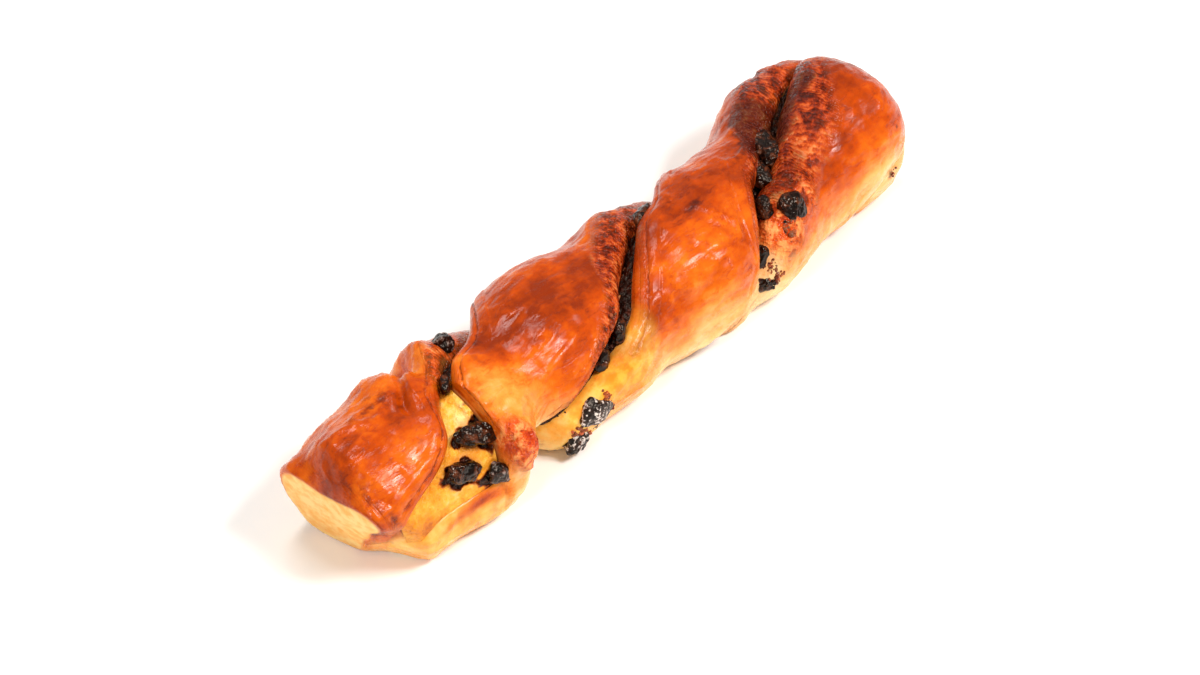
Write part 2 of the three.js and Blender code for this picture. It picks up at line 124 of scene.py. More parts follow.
class Field:
    """A number or colour that varies over a surface."""

    def __init__(self, finish, socket):
        self.finish = finish
        self.socket = socket

    def math(self, operation, a, b=0.0):
        """A Math node, which works on this field or a number and another."""
        return self.finish.node("ShaderNodeMath", {"operation": operation}, {0: a, 1: b})

    def __add__(self, other):
        return self.math("ADD", self, other)

    __radd__ = __add__

    def __sub__(self, other):
        return self.math("SUBTRACT", self, other)

    def __rsub__(self, other):
        return self.math("SUBTRACT", other, self)

    def __mul__(self, other):
        return self.math("MULTIPLY", self, other)

    __rmul__ = __mul__

    def wave(self):
        return self.math("SINE", self) * 0.5 + 0.5

    def distance(self):
        return self.math("ABSOLUTE", self)

    def step(self, low, high, to_low=0.0, to_high=1.0):
        """A smooth change from one number to another as this field goes from low to high."""
        settings = {"interpolation_type": "SMOOTHSTEP"}
        sockets = {0: self, 1: low, 2: high, 3: to_low, 4: to_high}
        return self.finish.node("ShaderNodeMapRange", settings, sockets)


class Finish:
    """A material whose shader is built one node at a time."""

    def __init__(self, name):
        self.material = bpy.data.materials.new(name)
        self.material.use_nodes = True
        self.tree = self.material.node_tree
        self.shader = self.tree.nodes["Principled BSDF"]

    def node(self, kind, settings, sockets, output=0):
        made = self.tree.nodes.new(kind)
        for name, value in settings.items():
            if name == "stops":
                self.set_stops(made.color_ramp, value)
            else:
                setattr(made, name, value)
        for key, value in sockets.items():
            self.feed(made.inputs[key], value)
        return Field(self, made.outputs[output])

    def set_stops(self, ramp, stops):
        while len(ramp.elements) < len(stops):
            ramp.elements.new(0.5)
        for element, (position, colour) in zip(ramp.elements, stops):
            element.position = position
            element.color = (*colour, 1.0)

    def feed(self, socket, value):
        if isinstance(value, Field):
            self.tree.links.new(value.socket, socket)
        elif isinstance(value, tuple) and len(value) == 3 and socket.type == "RGBA":
            socket.default_value = (*value, 1.0)
        else:
            socket.default_value = value

    def stored(self, name):
        """A number that was stored at each point of the mesh."""
        return self.node("ShaderNodeAttribute", {"attribute_name": name}, {}, 2)

    def noise(self, per_metre, detail=3.0, roughness=0.55, stretch=(1.0, 1.0, 1.0), shift=0.0):
        at = self.node("ShaderNodeTexCoord", {}, {}, 3)
        moved = self.node("ShaderNodeMapping", {}, {0: at, 1: (shift, shift, shift), 3: stretch})
        settings = {"noise_dimensions": "3D"}
        return self.node("ShaderNodeTexNoise", settings, {0: moved, 2: per_metre, 3: detail, 4: roughness})

    def ramp(self, field, stops):
        return self.node("ShaderNodeValToRGB", {"stops": stops}, {0: field})

    def mix(self, factor, a, b):
        settings = {"data_type": "RGBA", "clamp_factor": True}
        return self.node("ShaderNodeMix", settings, {0: factor, 6: a, 7: b}, 2)

    def bump(self, height, metres, strength=1.0, under=None):
        sockets = {"Height": height, "Distance": metres, "Strength": strength}
        if under is not None:
            sockets["Normal"] = under
        return self.node("ShaderNodeBump", {}, sockets)

    def surface(self, **values):
        names = {"colour": "Base Color", "specular_ior_level": "Specular IOR Level"}
        for name, value in values.items():
            self.feed(self.shader.inputs[names.get(name, name.replace("_", " ").title())], value)
        return self.material


def paint(red, green, blue):
    """A colour as a screen shows it, from 0 to 255, turned into the linear light that shaders use."""
    shown = np.array([red, green, blue]) / 255
    linear = np.where(shown <= 0.04045, shown / 12.92, ((shown + 0.055) / 1.055) ** 2.4)
    return tuple(float(v) for v in linear)


print("golden crust in linear light:", [round(v, 3) for v in paint(218, 91, 34)])

# %% Table
table = Finish("table_top")
table.surface(colour=(0.95, 0.95, 0.945), roughness=0.7)
SPAN = 3.0
floor_mesh = bpy.data.meshes.new("table")
corners = [(-SPAN, -SPAN, 0), (SPAN, -SPAN, 0), (SPAN, SPAN, 0), (-SPAN, SPAN, 0)]
floor_mesh.from_pydata(corners, [], [(0, 1, 2, 3)])
floor_mesh.materials.append(table.material)
floor = bpy.data.objects.new("table", floor_mesh)
floor.location.z = -0.0002
bpy.context.scene.collection.objects.link(floor)

# %% [markdown]
# ## The strip's own coordinates
#
# Everything on the pastry is found by two numbers: the distance along the strip from its left end, and the
# angle round it, counted from the front over the top. A section is two layers of dough with the custard
# between them, and both cut edges of this sandwich stay open, so two seams wind round the strip. The same
# curves as in the solids are used, so that the fine mesh follows them.

# %% Curves along the strip


def through_points(pairs):
    """A smooth curve through given points that never swings past them."""
    xs, ys = np.array(pairs, float).T
    slope = np.diff(ys) / np.diff(xs)
    both = slope[1:] * slope[:-1]
    inner = np.where(both > 0, 2 * both / np.where(both > 0, slope[1:] + slope[:-1], 1), 0)
    tangent = np.concatenate([slope[:1], inner, slope[-1:]])

    def curve(at):
        at = np.clip(at, xs[0], xs[-1])
        i = np.clip(np.searchsorted(xs, at, side="right") - 1, 0, len(xs) - 2)
        step = xs[i + 1] - xs[i]
        t = (at - xs[i]) / step
        level_part = (2 * t**3 - 3 * t**2 + 1) * ys[i] + (3 * t**2 - 2 * t**3) * ys[i + 1]
        return level_part + step * ((t**3 - 2 * t**2 + t) * tangent[i] + (t**3 - t**2) * tangent[i + 1])

    return curve


LENGTH = 204.0
MIDDLE = 103.3
HALF_WIDTH = 20.6
AXIS_HEIGHT = 16.0
TOP_RISE = 18.2
BELLY = 19.6
SLOT = (5.0, 192.0)
seam_open = through_points([
    (0, -62), (2, -30), (3.8, 0), (6, 12), (12, 18), (18, 23), (25, 30), (32, 44), (38, 74), (44, 97),
    (48, 108), (57, 122), (71, 165), (86, 215), (101, 265), (116, 310), (132, 346), (139, 381), (145, 412),
    (150, 432), (157, 442), (161, 451), (166, 457), (175, 471), (183, 484), (204, 500),
])
seam_shut = through_points([
    (0, -150), (18, -118), (38, -86), (50, -62), (59, -40), (62.5, -20), (66, -4), (70, 4), (76, 12),
    (86, 25), (94, 40), (100, 61), (107, 85), (115, 109), (127, 138), (146, 195), (160, 258), (174, 305),
    (184, 338), (190, 352), (204, 362),
])
gape_edge = through_points([(0, -80), (2, -50), (4, -22), (7, -12), (10, -9), (24, -3), (36, -3), (56, -2)])
GAPE_END = 40.6
GAPE_CLOSES = 3.2
edge_one_open = through_points([
    (0, 5), (40, 4), (48, 2.4), (70, 2.4), (132, 5), (146, 9), (176, 11), (204, 4),
])
edge_two_open = through_points([
    (0, 3), (41, 3), (57, 6), (136, 3), (152, 4), (164, 10), (184, 11), (204, 4),
])
edge_one_shut = through_points([(0, 3), (54, 2), (71, 4), (86, 7), (111, 8), (128, 6), (146, 4), (204, 3)])
edge_two_shut = through_points([(0, 3), (46, 4), (64, 5), (88, 4), (122, 3), (204, 3)])
depth_open = through_points([
    (0, 2.5), (8, 4), (40, 4.5), (57, 6), (134, 6), (148, 8), (162, 10), (182, 7), (204, 1),
])
rim_one_open = through_points([
    (0, 0.3), (6, 0.5), (14, 1), (38, 1.2), (44, 2.4), (56, 2.6), (75, 3), (134, 6), (148, 8), (162, 10),
    (182, 7), (204, 1),
])
rim_two_open = through_points([
    (0, 0.3), (6, 0.5), (16, 2.6), (38, 3.4), (48, 5.5), (57, 7), (75, 6), (134, 4.5), (148, 6), (162, 9),
    (182, 6), (204, 1),
])
rim_one_shut = through_points([
    (0, 0), (4, 0.2), (12, 2.6), (54, 3), (71, 5), (88, 7), (111, 7), (128, 6), (172, 4), (185, 0.3),
    (204, 0),
])
rim_two_shut = through_points([
    (0, 0), (4, 0.2), (12, 2.6), (54, 3.4), (88, 4), (98, 3), (111, 3), (128, 4), (172, 4), (185, 0.3),
    (204, 0),
])
gap_open = through_points([(0, 0.03), (5, 0.3), (9, 1.5), (182, 1.5), (190, 0.03), (204, 0.03)])
gap_shut = through_points([(0, 0.03), (4, 0.03), (10, 1.5), (172, 1.5), (184, 0.03), (204, 0.03)])
depth_shut = through_points([
    (0, 1.5), (36, 3), (54, 4), (71, 5), (88, 7.5), (111, 8), (128, 6), (181, 4), (204, 1),
])
sway = through_points([
    (0, -1.9), (24, -2.1), (42, -2.3), (56, -1.8), (78, -0.2), (92, -1.8), (113, -1.4), (126, -4.2),
    (136, -3.2), (145, -4.5), (156, -3.1), (164, -0.2), (174, 2.4), (190, 2.3), (204, -1.6),
])
girth = through_points([
    (0, 0.88), (12, 0.91), (24, 0.92), (36, 0.97), (48, 1.01), (62, 0.94), (76, 1.02), (88, 0.98), (102, 0.89),
    (118, 1), (128, 0.98), (146, 0.89), (156, 0.86), (166, 0.93), (176, 1.03), (190, 1.06), (204, 1.05),
])
turns = (seam_open(SLOT[1]) - seam_open(SLOT[0])) / 360
print(f"the open seam winds {turns:.2f} times round the strip")

# %% Sections of the strip
DOME = 17.0
DOME_ROUNDNESS = 2.3
LEFT_ROUND = 2.4
LEFT_START = 0.93
TOP_SQUARENESS = 2.2
BELLY_SQUARENESS = 2.5
# Each lump: where it is along the strip, its angle, how far it reaches along and round, and its height.
LUMPS = (
    (58, -25, 6, 60, -8), (48, 26, 6, 18, 2), (6, 140, 7, 26, -2), (32, 142, 6, 26, 2), (41, 140, 2.4, 24, -5),
    (47, 131, 3.6, 24, 2.8), (14, -40, 8, 30, 1),
)
# Each bevel of the left end: its angle, its width in degrees and its depth.
BEVELS = ((96, 48, 9), (-28, 46, 10))
BEVEL_REACH = 9.0
CORNER = 2.2
END_SLANT = 10.0
END_SLANT_REACH = 26.0
END_SKEW = 0.4


def wrapped(angle):
    """The same angle, brought to between -180 and 180 degrees."""
    return angle - 360 * np.round(angle / 360)


def fullness(s):
    """How full the strip is, from 1 down to 0 where the right end closes in a dome."""
    t = np.clip(1 - (LENGTH - s) / DOME, 0, 1)
    dome = (1 - t**DOME_ROUNDNESS) ** (1 / DOME_ROUNDNESS)
    begun = np.clip(1 - (1 - np.clip(s / LEFT_ROUND, 0, 1)) ** 2, 0, 1)
    return dome * (LEFT_START + (1 - LEFT_START) * np.sqrt(begun))


def body_radius(s, angle):
    """How far the plain body reaches from its axis: a rounded section, lumps added, bevels cut off."""
    c = np.abs(np.cos(np.radians(angle)))
    q = np.sin(np.radians(angle))
    rise = np.where(q > 0, TOP_RISE, BELLY)
    n = np.where(q > 0, TOP_SQUARENESS, BELLY_SQUARENESS)
    unit = ((c / HALF_WIDTH) ** n + (np.abs(q) / rise) ** n) ** (-1 / n)
    lumps = 0.0
    for at, towards, along, around, height in LUMPS:
        beside = wrapped(angle - towards) / around
        lumps = lumps + height * np.exp(-(((s - at) / along) ** 2) - beside**2)
    for towards, wide, depth in BEVELS:
        cut = depth * np.clip(1 - s / BEVEL_REACH, 0, 1) ** 1.5
        lumps = lumps - cut * np.exp(-((wrapped(angle - towards) / wide) ** 4))
    return (unit * girth(s) + lumps) * fullness(s)


def stretch_of(s, seam):
    """How much wider a width across a slanting seam is when it is measured straight round the strip."""
    slant = body_radius(s, seam(s)) * np.radians(seam(s + 1) - seam(s - 1)) * 0.5
    return np.minimum(np.sqrt(1 + slant**2), 2.4)


def degrees_across(width, s, seam):
    return np.degrees(width * stretch_of(s, seam) / np.maximum(body_radius(s, seam(s)), 4))


def place(s, angle, radius):
    """From the strip's own coordinates to points on the table."""
    y = sway(s) - radius * np.cos(np.radians(angle))
    z = AXIS_HEIGHT + radius * np.sin(np.radians(angle))
    z = np.where(z > CORNER, z, np.maximum(0, z + CORNER) ** 2 / (4 * CORNER))
    low = 1 - z / (AXIS_HEIGHT + TOP_RISE)
    reach = np.clip(1 - s / END_SLANT_REACH, 0, 1)
    slant = END_SLANT * low * (1 - END_SKEW * y / HALF_WIDTH) * reach**2 * (3 - 2 * reach)
    return np.stack([s + slant - MIDDLE, y, z], -1)


middle = place(np.array([100.0]), np.array([90.0]), body_radius(np.array([100.0]), np.array([90.0])))[0]
print("top of the strip at its middle, in millimetres:", middle.round(1))

# %% [markdown]
# ## Lumps without a texture
#
# Relief that shows in the outline has to be real. A lattice noise gives every corner of a grid of cubes its
# own number and blends between them, and a few sizes of it added up give dough that rose unevenly. It is
# written out here because it then works on all points at once, and gives the same pastry each time.

# %% Noise for real relief


def lattice_noise(points, size, seed=0):
    """A smooth random number between -1 and 1 at each point, with bumps about one size wide."""
    scaled = points / size
    cell = np.floor(scaled).astype(np.int64)
    t = scaled - cell
    t = t * t * (3 - 2 * t)
    total = np.zeros(points.shape[:-1])
    for corner in np.ndindex(2, 2, 2):
        at = cell + corner
        key = at[..., 0] * 73856093 ^ at[..., 1] * 19349663 ^ at[..., 2] * 83492791 ^ (seed + 1) * 2654435
        key = (key ^ (key >> 13)) * 1274126177 & 0x7FFFFFFF
        key = (key ^ (key >> 16)) & 0xFFFF
        weight = np.prod(np.where(corner, t, 1 - t), axis=-1)
        total += weight * (key / 32767.5 - 1)
    return total


def rough_noise(points, size, octaves=3, seed=0):
    """Several sizes of lattice noise, each finer one weaker."""
    total = 0.0
    for k in range(octaves):
        total = total + lattice_noise(points, size / 2**k, seed + 17 * k) / 2**k
    return total


def smooth(low, high, value):
    """0 below one value and 1 above another, with soft corners."""
    t = np.clip((value - low) / (high - low), 0, 1)
    return t * t * (3 - 2 * t)


trial = lattice_noise(np.random.default_rng(1).uniform(0, 90, (4000, 3)), 5.0)
print(f"noise runs from {trial.min():.2f} to {trial.max():.2f}")

# %% Places on the skin


def off_line(s, angle, radius, points):
    """Distance in millimetres over the skin from a line of (distance, angle) points."""
    best = np.full(s.shape, 1e9)
    round_by = np.radians(1) * radius
    for (s0, a0), (s1, a1) in zip(points[:-1], points[1:]):
        px = s - s0
        py = wrapped(angle - a0) * round_by
        dx = s1 - s0
        dy = (a1 - a0) * round_by
        t = np.clip((px * dx + py * dy) / (dx * dx + dy * dy), 0, 1)
        best = np.minimum(best, np.hypot(px - t * dx, py - t * dy))
    return best


def inside(s, angle, polygon):
    """True within a closed outline of (distance, angle) points."""
    turned = wrapped(angle - polygon[0][1]) + polygon[0][1]
    result = np.zeros(s.shape, bool)
    for (s0, a0), (s1, a1) in zip(polygon, polygon[1:] + polygon[:1]):
        crosses = (a0 > turned) != (a1 > turned)
        meets = s0 + (turned - a0) * (s1 - s0) / (a1 - a0 if a1 != a0 else 1e-9)
        result ^= crosses & (s < meets)
    return result


def patch(s, angle, radius, polygon, soft):
    """1 inside an outline and 0 outside, fading over a soft border in millimetres."""
    away = off_line(s, angle, radius, polygon + polygon[:1])
    signed = np.where(inside(s, angle, polygon), away, -away)
    return smooth(-soft / 2, soft / 2, signed)


def spot(s, angle, radius, at, towards, along, around):
    """A round soft mark, 1 at its middle."""
    beside = wrapped(angle - towards) * np.radians(1) * radius
    return np.exp(-(((s - at) / along) ** 2) - (beside / around) ** 2)


def spots(s, angle, radius, places):
    """The sum of some soft marks, each with its own strength."""
    return sum(strength * spot(s, angle, radius, *where) for *where, strength in places)


# %% [markdown]
# ## The crust
#
# Each layer's outside is a grid: rows along the strip, and columns that run from one cut edge over the
# swollen crust to the other. Because the columns follow the seams, the cut edges come out clean, where a
# plain tube pushed in and out would show steps. The columns crowd at the rounded cut edges. A sculpted mesh
# would do as well, but rules about where dough swells, creases and tears can be read and changed.

# %% Rows and columns
ROWS_APART = 0.58
EDGE_COLUMNS = 11
CRUST_COLUMNS = 78
LEG_STEPS = 5
BEND_STEPS = 3
PUFF = 1.7
FILLING_HALF = 1.7
CLEARANCE = 0.3
SPREAD = 3.0
EDGE_SHARE = 0.42


def rows_between(start, end, apart):
    return np.linspace(start, end, max(2, round((end - start) / apart) + 1))


dome_rows = LENGTH - DOME * (1 - np.sin(np.linspace(0.72, 1.0, 34) * np.pi / 2)) * 0.9
dome_start = dome_rows[0] if dome_rows[0] > SLOT[1] + 1 else SLOT[1] + 4
stations = np.concatenate([
    LEFT_ROUND * (1 - np.cos(np.linspace(0, 1, 8) * np.pi / 2)),
    rows_between(LEFT_ROUND, SLOT[0], ROWS_APART)[1:],
    rows_between(*SLOT, ROWS_APART)[1:],
    rows_between(GAPE_END - 0.6, GAPE_END + GAPE_CLOSES + 0.6, ROWS_APART / 4),
    rows_between(SLOT[1], dome_start, ROWS_APART)[1:],
    dome_rows[dome_rows > max(dome_rows[0], SLOT[1] + 4)][:-1],
])
stations = np.unique(stations.round(4))
in_slot = (stations >= SLOT[0] - 1e-3) & (stations <= SLOT[1] + 1e-3)
print(len(stations), "rows,", int(in_slot.sum()), "of them through the open sandwich")


def edge_angles(s):
    """The angles of the four cut edges, two for each layer."""
    closed = np.clip((s - GAPE_END) / GAPE_CLOSES, 0, 1)
    open_low = seam_open(s) - degrees_across(gap_open(s), s, seam_open)
    gape = gape_edge(s) + (open_low - gape_edge(s)) * closed
    shut_gap = degrees_across(gap_shut(s), s, seam_shut)
    return {
        "one_shut": seam_shut(s) + shut_gap,
        "one_open": np.minimum(open_low, gape),
        "two_open": seam_open(s) + degrees_across(gap_open(s), s, seam_open),
        "two_shut": seam_shut(s) + 360 - shut_gap,
    }


def crust_grid(s, start, end, edges, depths, seams):
    """Angles, plain radii and distances from both cut edges, as rows by columns."""
    turn = np.linspace(0, np.pi / 2, EDGE_COLUMNS)
    f, rounded = 1 - np.cos(turn), np.sin(turn)
    span = end - start
    wide = [np.minimum(degrees_across(edges[k], s, seams[k]), span * EDGE_SHARE) for k in (0, 1)]
    even = np.linspace(0, 1, CRUST_COLUMNS + 2)[1:-1]
    inner = (start + wide[0])[:, None] + (span - wide[0] - wide[1])[:, None] * even
    angle = np.concatenate([
        start[:, None] + wide[0][:, None] * f,
        inner,
        (end[:, None] - wide[1][:, None] * f)[:, ::-1],
    ], axis=1)
    depth = np.zeros_like(angle)
    depth[:, :EDGE_COLUMNS] = depths[0][:, None] * (1 - rounded)
    depth[:, -EDGE_COLUMNS:] = (depths[1][:, None] * (1 - rounded))[:, ::-1]
    rows = np.broadcast_to(s[:, None], angle.shape)
    swell = PUFF * np.sin(np.pi * np.clip((angle - start[:, None]) / span[:, None], 0, 1))
    plain = body_radius(rows, angle)
    off = [
        np.radians(np.abs(angle - side[:, None])) * plain / stretch_of(s, seam)[:, None]
        for side, seam in ((start, seams[0]), (end, seams[1]))
    ]
    return rows, angle, plain + (swell - depth) * fullness(rows), off


edges = edge_angles(stations)
one = crust_grid(
    stations, edges["one_shut"], edges["one_open"], (edge_one_shut(stations), edge_one_open(stations)),
    (rim_one_shut(stations), rim_one_open(stations)), (seam_shut, seam_open),
)
two = crust_grid(
    stations, edges["two_open"], edges["two_shut"], (edge_two_open(stations), edge_two_shut(stations)),
    (rim_two_open(stations), rim_two_shut(stations)), (seam_open, seam_shut),
)
print("columns on each layer:", one[1].shape[1])

# %% [markdown]
# ## What the oven did
#
# Relief and colour come from the same causes, so they are worked out together. Near a cut edge the layers
# show as thin steps, a torn edge is rough and combed, and a fold throws a ridge beside its crease. Each of
# the four edges gets a curve along the strip that says how torn it is.

# %% How torn each cut edge is
torn_one_open = through_points([
    (0, 0), (48, 0), (54, 0.2), (62, 0.15), (126, 0.3), (138, 0.1), (143, 0.3), (146, 1), (186, 1),
    (196, 0),
])
torn_two_open = through_points([
    (0, 0), (30, 0.05), (38, 0.15), (45, 0.9), (53, 0.9), (60, 0.4), (134, 0.4), (148, 0.5), (157, 1),
    (184, 1), (194, 0),
])
torn_one_shut = through_points([
    (0, 0), (60, 0), (68, 0.7), (86, 1), (111, 1), (128, 0.8), (150, 0.4), (184, 0),
])
torn_two_shut = through_points([
    (0, 0), (62, 0), (88, 0.1), (100, 0.12), (125, 0.25), (150, 0.2), (184, 0),
])


def along_seam(seam):
    """Length of a seam from the left end, as a curve over the distance along the strip."""
    s = np.linspace(0, LENGTH, 2000)
    slope = np.radians(seam(s + 0.5) - seam(s - 0.5)) * HALF_WIDTH * 0.85
    length = np.concatenate([[0], np.cumsum(np.sqrt(1 + slope[1:] ** 2) * np.diff(s))])
    return lambda at: (np.interp(at, s, length), np.interp(at, s, slope))


combed_open = along_seam(seam_open)
combed_shut = along_seam(seam_shut)
print("length of the open seam in millimetres:", round(float(combed_open(LENGTH)[0])))

CUTS_OF = {
    1: ((combed_shut, torn_one_shut, edge_one_shut), (combed_open, torn_one_open, edge_one_open)),
    2: ((combed_open, torn_two_open, edge_two_open), (combed_shut, torn_two_shut, edge_two_shut)),
}

# %% Folds, creases and blisters
# Each line is its points, its height in millimetres and its width. A negative height is a crease.
LINES = (
    ([(39, 131), (37, 124), (33.4, 110), (30.6, 99), (29.5, 90)], -1.5, 1.3),
    ([(41, 134), (39.4, 122), (36, 108), (33.5, 98)], 0.9, 1.8),
    ([(40, 118), (41.5, 108), (39, 92), (34, 74)], 0.35, 0.8),
    ([(7.6, 116), (11, 112), (14.5, 110), (19.2, 100), (23, 98)], 0.55, 0.9),
    ([(12, 108), (17, 98), (23, 90)], -0.35, 1.4),
    ([(17.5, 112), (19, 104), (23, 102), (26.5, 106), (25, 114), (20.5, 117), (17.5, 112)], 0.4, 0.7),
    ([(27, 118), (30, 108), (28, 100)], 0.4, 1.0),
    ([(24, 84), (29, 80), (33, 72)], 0.35, 0.9),
    ([(10, 72), (16, 68), (20, 60)], -0.3, 1.8),
    ([(128, 84), (130, 70), (133, 56), (132, 46)], 0.5, 0.9),
    ([(126.5, 58), (129, 50), (133.5, 40)], 0.45, 0.7),
    ([(112, 62), (118, 58), (121, 48)], -0.3, 1.2),
    ([(106, 28), (112, 24), (119, 30)], -0.3, 1.6),
    ([(74, 96), (82, 106), (92, 110)], -0.3, 1.8),
    ([(58, 62), (66, 58), (74, 64)], 0.35, 1.1),
    ([(62, 44), (68, 46), (76, 52)], 0.3, 1.0),
    ([(60, 80), (64, 88), (72, 92)], -0.25, 1.6),
    ([(168, 62), (174, 74), (184, 80)], -0.35, 1.8),
    ([(160, 20), (166, 34), (172, 44)], -0.3, 1.6),
    ([(186, 60), (192, 66), (197, 74)], -0.3, 1.6),
    ([(32, -18), (40, -21), (47, -27)], -0.35, 1.6),
    ([(88, 14), (94, 10), (98, -4)], 0.4, 1.2),
)
# The crumbly knob beside the open stretch, and a crumbled place further along the strip.
KNOB = [(41.5, 33), (44, 41), (47, 39), (50.3, 26), (51, 5), (48, -2), (45, 4), (42, 17)]
CRUMBLED = (146.5, 23, 6.5, 5.5)
# The torn band of the first layer gets this much wider between these two places.
TORN_WIDER = 0.6
TORN_WIDENS = (145, 153)
KNOB_HEIGHT = 1.2
# A torn edge is combed in lines, this many radians to a millimetre, and dough pulls into creases along the strip.
COMBED = 5.2
PULLED = 0.45
# A line is pressed in beside each cut edge, this far from it.
PRESSED_AT = 2.8


def lined_relief(rows, angle, radius):
    """The height of all folds and creases together."""
    high = 0.0
    for line, height, wide in LINES:
        away = off_line(rows, angle, radius, line)
        high = high + height * np.exp(-((away / wide) ** 2))
    return high


def edge_parts(layer, rows, angle, off):
    """How torn a point is by its nearer edge, how far it is along that edge, and its distance from it."""
    torn = np.zeros_like(angle)
    comb = np.zeros_like(angle)
    nearer = off[0] < off[1]
    for k, (combed, torn_at, wide_at) in enumerate(CUTS_OF[layer]):
        here = nearer if k == 0 else ~nearer
        length, slope = combed(rows)
        side = off[k] * (1 if k == 0 else -1)
        wide = wide_at(rows) * (1 + TORN_WIDER * smooth(*TORN_WIDENS, rows) * (layer == 1))
        part = torn_at(rows) * (1 - smooth(0.7, 1.15, off[k] / wide))
        torn = np.maximum(torn, part)
        comb = np.where(here, length + side * slope, comb)
    return torn, comb, np.minimum(off[0], off[1])


# %% Relief of the baked crust
lip_at = (
    through_points([(0, 0), (40, 0), (43, 1), (128, 1), (138, 0.3), (180, 0.6), (188, 0)]),
    through_points([(0, 0.3), (4, 1), (180, 1), (188, 0)]),
)


def baked_relief(layer, rows, angle, radius, off):
    """Millimetres that the crust stands out from its plain shape, and the marks that colour it."""
    points = place(rows, angle, radius)
    torn, comb, near = edge_parts(layer, rows, angle, off)
    knob = patch(rows, angle, radius, KNOB, 2.5) if layer == 1 else np.zeros_like(near)
    crumbly = np.maximum(knob, spot(rows, angle, radius, *CRUMBLED))
    torn = np.maximum(torn, crumbly)
    swollen = 0.7 * lattice_noise(points, 15, 3) + 0.3 * lattice_noise(points, 7.5, 4)
    pull = np.stack([points[..., 0] * PULLED, points[..., 1], points[..., 2]], -1)
    dented = 0.28 * rough_noise(pull, 4.8, 3, 6)
    blister = 0.3 * np.clip(lattice_noise(points, 2.6, 5) - 0.3, 0, 1)
    wrinkle = 0.36 * (1 - np.abs(rough_noise(pull, 4.2, 2, 9))) ** 4
    combing = 0.07 * np.sin(comb * COMBED + 7 * lattice_noise(points, 4, 14)) * (1 - crumbly)
    ragged = 0.6 * rough_noise(points, 2.4, 3, 12) + combing
    lip = lip_at[layer - 1](rows) * (near < 6)
    step = (0.3 * smooth(2.4, 3.3, near) - 0.45 * np.exp(-(((near - PRESSED_AT) / 0.45) ** 2))) * lip
    high = swollen + lined_relief(rows, angle, radius) + step * (1 - torn)
    high = high + (dented + blister + wrinkle) * (1 - torn) + ragged * torn
    high = high + knob * (KNOB_HEIGHT + rough_noise(points, 3.4, 3, 15))
    high = high + crumbly * np.abs(lattice_noise(points, 1.9, 16))
    # Heights of the dents and wrinkles, handed on so that the colour can paint shade into the dents.
    relief = dented + wrinkle - 0.1
    return points, high * smooth(-1.2, 5, near + 3 * knob), torn, comb, near, crumbly, lip, relief


# %% [markdown]
# ## How brown it got
#
# The top of every fold is deep orange brown, and its foot, which never saw the heat, is pale yellow. Sugar
# from the filling burnt purple brown in a few places. These go on as soft marks by place, and noise breaks
# them up. On top of the browning, the dents of the relief are painted darker as painted shade, and some of
# the pale marks also stand for a painted sheen of the glaze.

# %% Browning
oven = through_points([
    (0, 0.04), (14, -0.04), (24, -0.08), (32, -0.06), (44, -0.06), (62, 0.05), (84, 0.08), (104, 0.04),
    (116, -0.04), (136, 0.02), (158, 0.1), (170, 0.17), (182, 0.14), (196, 0.06), (204, 0.0),
])
# Where custard soaked each layer and kept it pale: an outline, its soft border and how wet it is.
SOAKED = {
    1: ([
        (0, -60), (0, -4), (10, -8), (24, -2), (40, -2), (44, -10), (46, -26), (40, -52), (20, -70),
    ], 6, 0.75),
    2: ([
        (58, -44), (62, 0), (66, 26), (74, 35), (84, 44), (92, 50), (97, 40), (97, 12), (92, -14), (78, -38),
    ], 7, 1.0),
}
# Each mark: its place along and round the strip, its reach along and round in millimetres, and its strength.
BURNT = (
    (29, 116, 4, 2, 0.4), (22, 110, 5, 1.6, 0.4), (31, 100, 3.5, 1.4, 0.3), (4, 60, 2, 12, 0.35),
    (5, 30, 3, 5, 0.4), (8, 60, 6, 3, 0.2), (24, 62, 7, 2, 0.2), (59, 116, 2, 1.2, 0.6),
    (57, 103, 1.6, 1, 0.6), (124, 106, 3, 2, 0.4), (128, 86, 4, 1.2, 0.6), (131, 70, 3, 1.2, 0.4),
    (112, 114, 4, 2, 0.3), (73, 134, 4, 1.6, 0.3), (84, 112, 4, 2, 0.25), (163, 112, 6, 5, 0.8),
    (178, 94, 6, 3, 0.6), (166, 126, 7, 5, 0.45), (156, 52, 6, 3, 0.35), (158, 104, 5, 3, 0.7),
    (168, 130, 6, 4, 0.45), (176, 98, 7, 3, 0.5), (168, 84, 6, 3, 0.7), (184, 100, 4, 3, 0.7),
    (150, 100, 6, 3, 0.3), (172, 108, 5, 3, 0.8), (150, 62, 5, 3, 0.4), (160, 60, 6, 3, 0.4),
    (190.8, -10, 1.8, 1.6, 0.6), (174, -20, 0.6, 0.6, 1.0), (184.6, -30, 0.6, 0.6, 1.0),
    (194, 26, 0.5, 0.5, 0.9),
)
# Paler marks in the same columns, where a negative strength darkens. Most are dough that the heat barely reached;
# those from 42 to 56 mm along and 40 degrees or more round also stand for a painted sheen of the glaze.
PALE_AND_SHEEN = (
    (49, 80, 6, 9, 0.34), (49, 50, 6, 8, 0.22), (56, 40, 6, 10, 0.18), (61, -4, 7, 10, 0.4),
    (43, -26, 6, 5, 0.36), (8, 42, 5, 4, -0.12), (42, 115, 3, 5, 0.1), (184, -6, 14, 8, 0.3),
    (46, 118, 5, 4, 0.15), (188, 8, 8, 5, 0.15), (140, -14, 8, 10, 0.3), (141, 8, 5, 3, 0.3),
    (122, -10, 14, 10, 0.1), (178, 118, 3, 3, 0.5),
)
BLUSHED = (
    (34, -8, 8, 2.4, 1.0), (24, -12, 7, 1.6, 0.5), (43, -14, 5, 2.4, 0.7), (0.2, -20, 0.9, 12, 1.0),
    (91, 18, 5, 3, 0.55), (96, 30, 4, 5, 0.4), (84, 20, 5, 2, 0.35),
)


